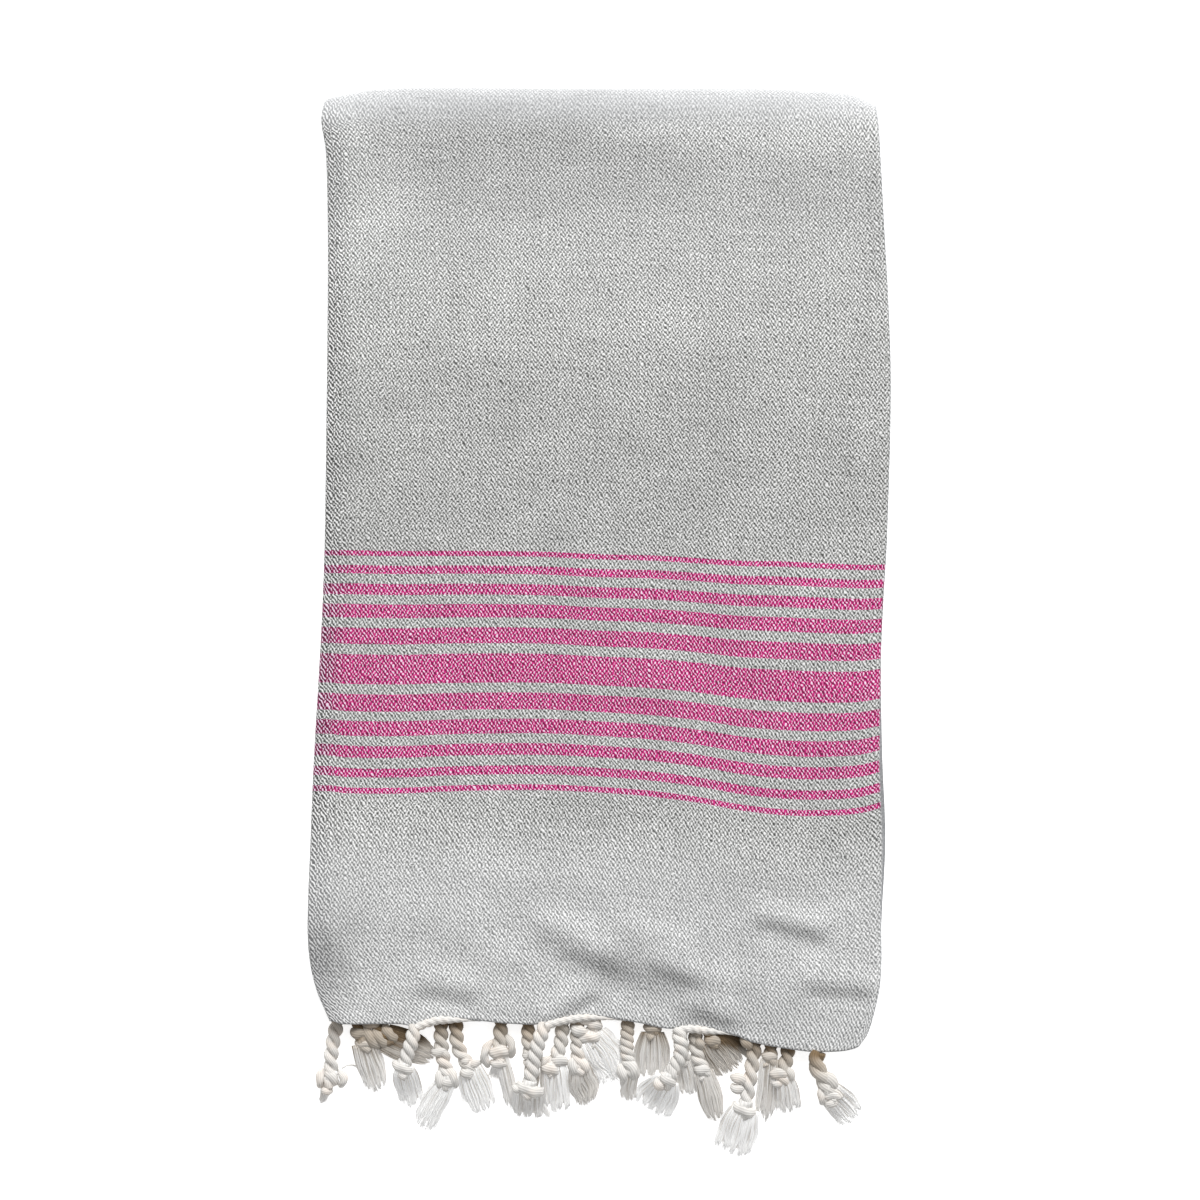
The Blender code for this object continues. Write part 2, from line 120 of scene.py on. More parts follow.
SIDES = table(Side, (
    (-376.0, -234.0, 231.0), (-365.0, -236.0, 237.4), (-352.0, -239.6, 242.0),
    (-325.0, -250.9, 248.2), (-298.0, -257.1, 250.6), (-265.0, -259.0, 250.6),
    (-192.0, -256.4, 254.2), (-120.0, -253.4, 251.4), (-32.0, -248.2, 250.2), (20.0, -245.6, 252.0),
    (75.0, -243.8, 255.2), (206.0, -242.0, 258.6), (286.0, -241.2, 256.4), (366.0, -241.2, 251.8),
    (418.0, -242.2, 248.4), (445.0, -246.2, 246.6), (466.0, -243.0, 243.6),
))
HEM = table(Edge, (
    (-235.3, -352.5), (-228.0, -355.0), (-176.0, -355.8), (-166.0, -357.2), (-154.0, -353.0),
    (-141.0, -349.8), (-106.0, -352.8), (-79.0, -355.4), (-53.0, -355.6), (-35.0, -351.0),
    (-13.0, -348.0), (5.0, -349.6), (36.0, -354.8), (62.0, -359.8), (82.0, -357.6), (120.0, -365.5),
    (134.0, -371.4), (168.0, -377.8), (195.0, -380.4), (228.0, -376.8), (237.0, -366.0),
))
TOP = table(Edge, (
    (-243.0, 465.0), (-221.0, 470.8), (-198.0, 473.6), (-165.0, 475.0), (0.0, 474.2),
    (120.0, 474.2), (178.0, 472.6), (222.0, 468.8), (243.6, 459.0),
))
WEFTS = table(Weft, (
    (-240.0, -148.5, 65.0), (-221.0, -150.7, 65.1), (-176.0, -151.0, 64.4), (-132.0, -149.1, 64.6),
    (-88.0, -148.2, 64.4), (-44.0, -148.2, 63.6), (0.0, -150.2, 61.5), (45.0, -153.7, 60.6),
    (89.0, -159.4, 58.1), (124.0, -165.8, 55.9), (160.0, -170.0, 55.3), (195.0, -171.0, 53.8),
    (230.0, -168.7, 52.3), (252.0, -163.0, 52.5),
))
CREASES = table(Crease, (
    (146, -258, 192, -269, 12, 4.4), (-42, -268, 2, -290, 16, 4.8), (28, -270, 70, -288, 14, 2.8),
    (52, -300, 80, -310, 10, 2.6), (-152, -316, -118, -322, 13, 3.6),
    (-46, -346, -8, -322, 11, 2.8), (84, -338, 112, -348, 12, 3.0), (188, -316, 234, -319, 13, 3.2),
    (-236, -270, -222, -322, 16, 2.2), (-36, 92, 2, 12, 26, 1.8), (120, 380, 122, 250, 30, 1.8),
))
FINE_CREASES = table(Crease, (
    (150, -275, 194, -286, 8, -2.4), (-24, -306, 18, -319, 13, -3.2), (58, -317, 84, -326, 8, -2.0),
    (-152, -334, -120, -339, 8, -1.8), (-40, -356, -4, -336, 5, -1.8),
    (88, -352, 116, -360, 6, -1.8), (192, -331, 234, -334, 7, -1.8),
    (-216, -280, -206, -316, 12, -1.8), (-196, -250, -120, -262, 24, 1.8),
    (-96, -222, -20, -232, 22, 1.8), (96, -216, 160, -226, 20, 2.0),
    (-120, -282, -80, -296, 14, 1.6), (60, -318, 130, -314, 13, 1.8),
    (-190, 415, -60, 425, 26, -1.6), (20, 438, 190, 430, 26, 1.8), (-204, 170, -200, 340, 26, 1.4),
    (40, 160, 56, 300, 24, 1.0), (-110, -30, 60, -60, 22, 1.0), (-150, 250, 60, 235, 40, 1.6),
    (-120, 130, 190, 110, 45, -1.8),
))
# Painted light and shade: lighter near the top fold, and darker on the creases near the hem.
PAINTED_LIGHT_PATCHES = table(PaintedLightPatch, (
    (70.0, 428.0, 190.0, 95.0, 0.17), (440.0, 400.0, 90.0, 130.0, 0.11),
    (462.0, -292.0, 46.0, 62.0, -0.36), (218.0, -309.0, 70.0, 32.0, -0.32),
    (166.0, -310.0, 46.0, 28.0, -0.22), (142.0, -338.0, 46.0, 24.0, -0.22),
    (60.0, 60.0, 120.0, 90.0, 0.06), (240.0, 395.0, 150.0, 45.0, 0.06),
    (400.0, -170.0, 130.0, 60.0, 0.08), (87.0, -325.0, 110.0, 55.0, -0.09),
))


# ---------------------------------------------------------------- small sums


def blend(start: Any, end: Any, share: Any) -> Any:
    """The value a share of the way from start to end."""
    return start + (end - start) * share


def ease(share: Any) -> Any:
    """0 to 1 with level ends, and held at each end beyond them."""
    share = np.clip(share, 0.0, 1.0)
    return share * share * (3 - 2 * share)


def swell(distance: float, wide: float) -> float:
    """A soft rise that is 1 at no distance and fades over its width."""
    return math.exp(-((distance / wide) ** 2))


def read(rows: Sequence[Any], key: str, column: str, at: float) -> float:
    """A table's column at any place along its key, on a smooth line through the rows.

    Args:
        rows: The table, in order of its key.
        key: The name of the column that says where a row is.
        column: The name of the column to read.
        at: The place, held to the table's two ends.

    Returns:
        The column's value there.
    """
    keys = [getattr(row, key) for row in rows]
    values = [getattr(row, column) for row in rows]
    at = min(max(at, keys[0]), keys[-1])
    i = next(k for k in range(len(keys) - 1) if at <= keys[k + 1])
    last = len(keys) - 1
    slopes = [
        (values[min(k + 1, last)] - values[max(k - 1, 0)]) / (keys[min(k + 1, last)] - keys[max(k - 1, 0)])
        for k in (i, i + 1)
    ]
    step = keys[i + 1] - keys[i]
    share = (at - keys[i]) / step
    level = blend(values[i], values[i + 1], share * share * (3 - 2 * share))
    return level + slopes[0] * step * share * (1 - share) ** 2 - slopes[1] * step * share**2 * (1 - share)


# ---------------------------------------------------------------- shader building


class Signal:
    """A shader value that Python's own operators work on."""

    def __init__(self, bench: "Bench", socket: bpy.types.NodeSocket) -> None:
        """Keeps the bench that adds nodes, and the socket that the value leaves by."""
        self.bench = bench
        self.socket = socket

    def maths(self, operation: str, *values: Union["Signal", float]) -> "Signal":
        """One Math node's result on these values."""
        return self.bench.add("ShaderNodeMath", {"operation": operation}, dict(enumerate(values)))

    def __add__(self, other: Union["Signal", float]) -> "Signal":
        """Adds."""
        return self.maths("ADD", self, other)

    def __sub__(self, other: Union["Signal", float]) -> "Signal":
        """Subtracts."""
        return self.maths("SUBTRACT", self, other)

    def __rsub__(self, other: float) -> "Signal":
        """Subtracts from a number."""
        return self.maths("SUBTRACT", other, self)

    def __mul__(self, other: Union["Signal", float]) -> "Signal":
        """Multiplies."""
        return self.maths("MULTIPLY", self, other)

    def __truediv__(self, other: Union["Signal", float]) -> "Signal":
        """Divides."""
        return self.maths("DIVIDE", self, other)

    def __lt__(self, other: Union["Signal", float]) -> "Signal":
        """1 where it is less, and 0 elsewhere."""
        return self.maths("LESS_THAN", self, other)

    def __abs__(self) -> "Signal":
        """Its size without its sign."""
        return self.maths("ABSOLUTE", self)

    def above_zero(self) -> "Signal":
        """Itself where it is above 0, and 0 elsewhere."""
        return self.maths("MAXIMUM", self, 0.0)

    def cosine(self) -> "Signal":
        """Its cosine."""
        return self.maths("COSINE", self)


class Cloud(NamedTuple):
    """A soft random pattern: its cells in a metre on each axis, its detail and its strength."""

    cells: tuple[float, float, float]
    detail: float = 0.0
    strength: float = 1.0


class Bench:
    """A new material's node tree, and the one method that adds any node to it."""

    MIX_FACTOR = 0
    MIX_FROM = 6
    MIX_TO = 7
    MIX_RESULT = 2

    def __init__(self, name: str) -> None:
        """Makes the material, with its Principled shader."""
        self.material = bpy.data.materials.new(name)
        self.material.use_nodes = True
        self.tree = self.material.node_tree
        self.shader = self.tree.nodes["Principled BSDF"]

    def add(
        self,
        kind: str,
        settings: dict[str, Any],
        sockets: dict[Union[int, str], Any],
        output: Union[int, str] = 0,
    ) -> Signal:
        """Adds one node.

        Args:
            kind: The node's type.
            settings: Its properties, which are set first.
            sockets: A value or a signal for each input, by number or name.
            output: The output that is wanted, by number or name.

        Returns:
            The signal that leaves by that output.
        """
        node = self.tree.nodes.new(kind)
        for name, value in settings.items():
            setattr(node, name, value)
        for key, value in sockets.items():
            self.feed(node.inputs[key], value)
        return Signal(self, node.outputs[output])

    def feed(self, socket: bpy.types.NodeSocket, value: Any) -> None:
        """Links a signal to a socket, or sets the socket's own value."""
        if isinstance(value, Signal):
            self.tree.links.new(value.socket, socket)
        else:
            socket.default_value = value

    def mix(self, factor: Any, start: Any, end: Any) -> Signal:
        """The colour a factor of the way from start to end."""
        sockets = {self.MIX_FACTOR: factor, self.MIX_FROM: start, self.MIX_TO: end}
        return self.add("ShaderNodeMix", {"data_type": "RGBA"}, sockets, self.MIX_RESULT)

    def vectors(self, operation: str, vector: Signal, key: Union[int, str], value: Any) -> Signal:
        """One Vector Math node's result on a vector and a second value."""
        return self.add("ShaderNodeVectorMath", {"operation": operation}, {0: vector, key: value})

    def scale(self, vector: Signal, by: tuple[float, float, float]) -> Signal:
        """A vector with each of its axes stretched."""
        return self.vectors("MULTIPLY", vector, 1, by)

    def shift(self, vector: Signal, by: tuple[float, float, float]) -> Signal:
        """A vector moved."""
        return self.vectors("ADD", vector, 1, by)

    def length(self, vector: Signal) -> Signal:
        """A vector's length."""
        return self.add("ShaderNodeVectorMath", {"operation": "LENGTH"}, {0: vector}, "Value")

    def brighten(self, colour: Signal, by: Signal) -> Signal:
        """A colour made lighter or darker all over."""
        return self.vectors("SCALE", colour, "Scale", by)

    def tint(self, colour: Signal, by: Signal) -> Signal:
        """A colour dyed with another."""
        return self.vectors("MULTIPLY", colour, 1, by)

    def attribute(self, name: str) -> Signal:
        """A value that the mesh carries at each of its points."""
        return self.add("ShaderNodeAttribute", {"attribute_name": name}, {}, "Fac")

    def map_place(self, name: str) -> tuple[Signal, Signal, Signal]:
        """A place on one of the mesh's own maps, and its two distances."""
        place = self.add("ShaderNodeUVMap", {"uv_map": name}, {})
        first, second = (self.add("ShaderNodeSeparateXYZ", {}, {0: place}, axis) for axis in "XY")
        return place, first, second

    def finish(self, sockets: dict[str, Any]) -> bpy.types.Material:
        """Feeds the shader's sockets, by name, and hands over the material."""
        for name, value in sockets.items():
            self.feed(self.shader.inputs[name], value)
        return self.material

    def cloud(self, vector: Signal, cloud: Cloud) -> Signal:
        """A soft random value about 0, from roughly minus to plus half the cloud's strength."""
        sockets = {"Vector": self.scale(vector, cloud.cells), "Scale": 1.0, "Detail": cloud.detail}
        return (self.add("ShaderNodeTexNoise", {}, sockets, "Fac") - 0.5) * cloud.strength

    def smooth(self, value: Signal, low: float, high: float) -> Signal:
        """0 below the low value and 1 above the high one, with a soft step between."""
        sockets = {"Value": value, "From Min": low, "From Max": high}
        return self.add("ShaderNodeMapRange", {"interpolation_type": "SMOOTHSTEP"}, sockets)

    def bump(self, height: Signal, distance: float, strength: float) -> Signal:
        """The normal of a surface with that relief."""
        sockets = {"Height": height, "Distance": distance, "Strength": strength}
        return self.add("ShaderNodeBump", {}, sockets, "Normal")


# ---------------------------------------------------------------- finishes

Colour = tuple[float, float, float, float]
Span = tuple[float, float]
WHITE: Colour = (1.0, 1.0, 1.0, 1.0)
BLACK: Colour = (0.0, 0.0, 0.0, 1.0)


class Stripe(NamedTuple):
    """A woven stripe: how far along the cloth its middle lies, and its width."""

    along: float
    wide: float


@dataclass(frozen=True)
class WovenCotton:
    """Natural warp over grey weft, with pink weft in the stripes, in a small dotted weave, with painted
    light and shade.

    The pitches and stripes are in millimetres. Every span is in metres along or across the cloth, or
    else from the weakest to the strongest of what it steps between.
    """

    warp_pitch: float = 1.64
    weft_pitch: float = 2.18
    stripe_thicker: float = 0.07
    hem_loose: float = 0.11
    loose_below: float = -0.165
    pull_across: Cloud = Cloud((70.0, 18.0, 1.0), 3.0, 1.9 * MM)
    pull_along: Cloud = Cloud((16.0, 90.0, 1.0), 3.0, 1.9 * MM)
    step_across: Cloud = Cloud((300.0, 190.0, 1.0), 0.0, 2.4 * MM)
    step_along: Cloud = Cloud((190.0, 260.0, 1.0), 0.0, 2.4 * MM)
    lean: Cloud = Cloud((26.0, 26.0, 1.0), 1.0, 1.1)
    lean_all: float = 0.17
    lean_on_edge: float = 0.4
    lean_along: float = 0.35
    paired: float = 0.3
    unpaired: float = 0.1
    threes: float = 0.28
    doubled: float = 0.16
    narrow: float = 0.22
    uneven: Cloud = Cloud((560.0, 460.0, 1.0), 2.0)
    uneven_grey: float = 2.3
    uneven_pink: float = 1.1
    hole_slant: float = 0.15
    hole_depth: float = 0.3
    hole_cloud: Cloud = Cloud((460.0, 520.0, 1.0), 1.0, 1.7)
    float_span: Span = (0.05, 0.65)
    float_less_in_pink: float = 0.14
    float_more_on_edge: float = 0.13
    gap_span: Span = (-0.1, 0.7)
    gap_more_in_pink: float = 0.12
    warp: Colour = (0.93, 0.93, 0.925, 1)
    warp_by_pink: Colour = (0.95, 0.79, 0.93, 1)
    # The weft's colours on its crowns, and the painted shade in the gaps between threads.
    grey_crown: Colour = (0.45, 0.454, 0.442, 1)
    grey_gap_shade: Colour = (0.065, 0.067, 0.064, 1)
    pink_crown: Colour = (0.77, 0.026, 0.27, 1)
    pink_gap_shade: Colour = (0.16, 0.001, 0.05, 1)
    edge_span: Span = (0.450, 0.474)
    # Painted shade of the rolled left fold, where the weave is also darker: how much the weft darkens
    # there.
    edge_shade: float = 0.55
    # The flat grey that the weave fades to: a painted highlight along the top fold, and a softer weave over
    # the upper and lower body and at the cloth's edges.
    highlight_and_haze: Colour = (0.53, 0.537, 0.552, 1)
    fold_highlight_span: Span = (0.430, 0.462)
    fold_highlight: float = 0.5
    upper_span: Span = (0.22, 0.40)
    upper_haze: float = 0.12
    lower_span: Span = (0.15, 0.24)
    lower_haze: float = 0.28
    rim_span: Span = (0.6, 1.0)
    rim_haze: float = 0.6
    broad: Cloud = Cloud((17.0, 17.0, 1.0), 3.0, 0.22)
    weft_streaks: Cloud = Cloud((14.0, 520.0, 1.0), 1.0, 0.34)
    warp_streaks: Cloud = Cloud((520.0, 9.0, 1.0), 1.0, 0.22)
    slubs: Cloud = Cloud((45.0, 420.0, 1.0))
    slub_span: Span = (0.22, 0.30)
    slub_dark: float = 0.22
    # Painted light and shade along the body: darker from below the striped band upwards, and lighter again
    # towards the top fold.
    light_span: Span = (0.08, 0.33)
    light: float = 0.15
    dark_span: Span = (-0.24, -0.13)
    dark: float = 0.17
    # Painted shade over the top fold's far side and the layers behind it, which the key light falls full
    # on.
    behind_span: Span = (0.474, 0.496)
    behind_shade: float = 0.34
    evenly: float = 0.98
    stripes: tuple[Stripe, ...] = table(Stripe, (
        (60.7, 4.7), (46.4, 7.2), (29.2, 9.5), (10.2, 11.8), (-11.5, 14.1), (-40.3, 25.7),
        (-69.4, 14.8), (-91.6, 12.9), (-111.9, 10.3), (-130.4, 7.9), (-145.9, 5.2),
    ))
    fuzz: Cloud = Cloud((900.0, 900.0, 1.0), 2.0, 0.5)
    weave_relief: float = 0.5
    relief: float = 0.35
    relief_strength: float = 0.55
    roughness: float = 0.92
    sheen: float = 0.08

    def make(self) -> bpy.types.Material:
        """Builds the material.

        Returns:
            A material that reads the cloth's weave map, in metres across and along it.
        """
        bench = Bench("Woven cotton")
        place, across, along = bench.map_place(WEAVE_UV)
        edge = bench.smooth(across, *self.edge_span)
        pink = self.stripe_mask(along)
        weave, gaps = self.weave(bench, place, across, along, edge, pink)
        over = weave - pink * self.float_less_in_pink + edge * self.float_more_on_edge
        floats = bench.smooth(over, *self.float_span)
        crowns = 1.0 - bench.smooth(gaps + pink * self.gap_more_in_pink, *self.gap_span)
        # Painted shade: the weft darkens from its crowns into the gaps between threads.
        gap_shade = bench.mix(pink, self.grey_gap_shade, self.pink_gap_shade)
        crown = bench.mix(pink, self.grey_crown, self.pink_crown)
        # On the left fold the weft darkens, partly as painted shade of its roll.
        weft = bench.brighten(bench.mix(crowns, gap_shade, crown), 1.0 - edge * self.edge_shade)
        warp = bench.mix(pink, self.warp, self.warp_by_pink)
        # A painted highlight along the top fold, and the weave fading towards flat grey elsewhere.
        highlight_and_haze = bench.smooth(along, *self.fold_highlight_span) * self.fold_highlight
        highlight_and_haze = highlight_and_haze + bench.smooth(along, *self.upper_span) * self.upper_haze
        highlight_and_haze = highlight_and_haze + bench.smooth(0.0 - along, *self.lower_span) * self.lower_haze
        highlight_and_haze = highlight_and_haze + bench.smooth(bench.attribute(RIM), *self.rim_span) * self.rim_haze
        faded_weave = bench.mix(highlight_and_haze, bench.mix(floats, weft, warp), self.highlight_and_haze)
        height = weave * self.weave_relief + bench.cloud(place, self.fuzz)
        return bench.finish({
            "Base Color": bench.brighten(faded_weave, self.tone(bench, place, along)),
            "Normal": bench.bump(height, self.relief * MM, self.relief_strength),
            "Roughness": self.roughness,
            "Sheen Weight": self.sheen,
        })

    def weave(
        self, bench: Bench, place: Signal, across: Signal, along: Signal, edge: Signal, pink: Signal
    ) -> tuple[Signal, Signal]:
        """The weave's relief and its gaps.

        Args:
            bench: The material's bench.
            place: The weave map.
            across: Its distance across the cloth.
            along: Its distance along the cloth.
            edge: 1 on the fold down the left side, and 0 away from it.
            pink: 1 in the stripes, whose weft is a little thicker and more even, and 0 in the grey.

        Returns:
            The relief, from -1 on the weft's crowns to 1 on the warp's floats, whose dots lean one way or
            the other as the cloth is pulled, and the gaps, which are 1 between the threads, where shade is
            painted.
        """
        pulled_across = across + bench.cloud(place, self.pull_across) + bench.cloud(place, self.step_across)
        warps = pulled_across * (math.pi / (self.warp_pitch * MM))
        near_hem = (self.loose_below - along).above_zero() * self.hem_loose
        pulled_along = bench.cloud(place, self.pull_along) + bench.cloud(place, self.step_along)
        thin = math.pi / (self.weft_pitch * MM)
        wefts = (along + near_hem + pulled_along) * (thin - pink * (thin * self.stripe_thicker))
        lean = bench.cloud(place, self.lean) + self.lean_all
        lean = lean - along * self.lean_along + edge * self.lean_on_edge
        rising = (warps + wefts).cosine()
        falling = (warps - wefts).cosine()
        paired = (warps * 0.5 - wefts).cosine() * self.paired - (warps * 0.5).cosine() * self.unpaired
        threes = (warps * 1.5 - wefts).cosine() * self.threes
        doubled = (warps * 0.5 - wefts * 2.0).cosine() * self.doubled
        narrow = (warps * 2.0).cosine() * self.narrow
        unevenly = self.uneven_grey - pink * (self.uneven_grey - self.uneven_pink)
        uneven = bench.cloud(place, self.uneven) * unevenly
        dots = (rising * (1.0 - lean) + falling * (lean + 1.0)) * 0.5
        holes = (rising - falling) * self.hole_slant - (rising + falling) * self.hole_depth
        relief = dots + paired + threes + doubled + narrow + uneven
        return relief, holes + bench.cloud(place, self.hole_cloud)

    def stripe_mask(self, along: Signal) -> Signal:
        """1 in the stripes' weft, and 0 in the grey."""
        masks = [abs(along / MM - stripe.along) < stripe.wide / 2 for stripe in self.stripes]
        return sum(masks[1:], masks[0])

    def tone(self, bench: Bench, place: Signal, along: Signal) -> Signal:
        """How much lighter or darker the cloth is from place to place, about 1: the threads' uneven tone,
        and painted light and shade.
        """
        total = bench.cloud(place, self.broad) + self.evenly
        total = total + bench.cloud(place, self.weft_streaks) + bench.cloud(place, self.warp_streaks)
        total = total - bench.smooth(bench.cloud(place, self.slubs), *self.slub_span) * self.slub_dark
        # Painted light and shade along the body.
        total = total + bench.smooth(along, *self.light_span) * self.light
        total = total - bench.smooth(along, *self.dark_span) * self.dark
        # Painted shade behind the top fold.
        total = total - bench.smooth(along, *self.behind_span) * self.behind_shade
        # Patches of painted light and shade.
        for patch in PAINTED_LIGHT_PATCHES:
            offset = bench.scale(
                bench.shift(place, (-patch.from_selvedge * MM, -patch.along * MM, 0.0)),
                (1 / (patch.wide * MM), 1 / (patch.tall * MM), 0.0),
            )
            total = total + (1.0 - bench.smooth(bench.length(offset), 0.0, 1.0)) * patch.tone
        return total


@dataclass(frozen=True)
class CottonYarn:
    """Undyed cotton, twisted in fine strands, with painted shade that turns it browner near the hem."""

    loose: Colour = (0.97, 0.968, 0.96, 1)
    # The cords' and knots' yarn, painted darker than the loose yarn as the shade in their twists.
    bound: Colour = (0.66, 0.645, 0.62, 1)
    warm: Colour = (0.72, 0.665, 0.61, 1)
    warm_span: Span = (-0.05, 0.25)
    mottling: Cloud = Cloud((60.0, 60.0, 60.0), 2.0)
    # Painted shade: the dark, warm colour that the yarn turns to near the hem, and the warm tint it gains
    # on the way.
    shaded: Colour = (0.155, 0.106, 0.056, 1)
    warm_shade: Colour = (1.0, 0.963, 0.90, 1)
    warm_shade_span: Span = (0.0, 0.7)
    strand_pitch: float = 17.0
    strands: int = 13
    # Painted light on the bound yarn's strands and painted shade in the grooves between them.
    strand_shade: float = 0.14
    strand_relief: float = 0.35
    grooves: Cloud = Cloud((3.0, 900.0, 1.0), 1.0, 0.10)
    fuzz: Cloud = Cloud((1400.0, 1400.0, 1400.0), 2.0, 0.5)
    relief: float = 0.4
    relief_strength: float = 0.55
    roughness: float = 0.88
    sheen: float = 0.12
    # A painted glow in the loose yarns, as of light through their fibres.
    glow: float = 0.17

    def make(self) -> bpy.types.Material:
        """Builds the material, which reads the yarns' own map and the painted shade near the hem."""
        bench = Bench("Undyed cotton yarn")
        place, around, along = bench.map_place(YARN_UV)
        root = bench.attribute(ROOT_SHADE)
        bound = bench.attribute(BOUND)
        solid = bench.add("ShaderNodeTexCoord", {}, {}, "Object")
        turn = 2 * math.pi
        twist = (around * (self.strands * turn) + along * (turn / (self.strand_pitch * MM))).cosine()
        mottled = bench.smooth(bench.cloud(solid, self.mottling), *self.warm_span)
        clean = bench.mix(bound, self.loose, bench.mix(mottled, self.bound, self.warm))
        # Painted shade near the hem, warmer as it deepens.
        warm_shade_tint = bench.mix(bench.smooth(root, *self.warm_shade_span), WHITE, self.warm_shade)
        colour = bench.tint(bench.mix(root, clean, self.shaded), warm_shade_tint)
        # Painted light and shade along the twisted strands, with the yarn's uneven tone.
        toned = twist * bound * self.strand_shade + bench.cloud(place, self.grooves) + 1.0
        height = twist * self.strand_relief + bench.cloud(solid, self.fuzz)
        return bench.finish({
            "Base Color": bench.brighten(colour, toned),
            # Painted light: the loose yarns glow, less near the hem.
            "Emission Color": bench.mix((1.0 - bound) * (1.0 - root), BLACK, WHITE),
            "Emission Strength": self.glow,
            "Normal": bench.bump(height, self.relief * MM, self.relief_strength),
            "Roughness": self.roughness,
            "Sheen Weight": self.sheen,
        })


@dataclass(frozen=True)
class PaleFloor:
    """The plain floor, which gives off a little light of its own so that it reads white."""

    colour: Colour = (0.78, 0.78, 0.78, 1)
    roughness: float = 0.9
    glow: float = 0.7

    def make(self) -> bpy.types.Material:
        """Builds the material."""
        return Bench("Pale floor").finish({
            "Base Color": self.colour,
            "Roughness": self.roughness,
            "Specular IOR Level": 0.0,
            "Emission Color": WHITE,
            "Emission Strength": self.glow,
        })


# ---------------------------------------------------------------- the cloth


class Stretch(Enum):
    """The three stretches of the cloth's length."""

    FRONT = "BA"
    TOP = "ba"
    BACK = "CD"


class Column(NamedTuple):
    """A line along the cloth: a share of the width from the selvedge, and degrees round the fold."""

    share: float
    round_left: float


class Row(NamedTuple):
    """A line across the cloth: its stretch, and a share of it or degrees round the top fold."""

    stretch: Stretch
    place: float


def finish_mesh(name: str, mesh: bpy.types.Mesh, material: bpy.types.Material) -> bpy.types.Object:
    """Links a mesh into the scene as a smooth object with one material.

    Args:
        name: The object's name.
        mesh: Its mesh, in place.
        material: Its finish.

    Returns:
        The new object, at the origin.
    """
    mesh.materials.append(material)
    mesh.shade_smooth()
    made = bpy.data.objects.new(name, mesh)
    bpy.context.scene.collection.objects.link(made)
    return made


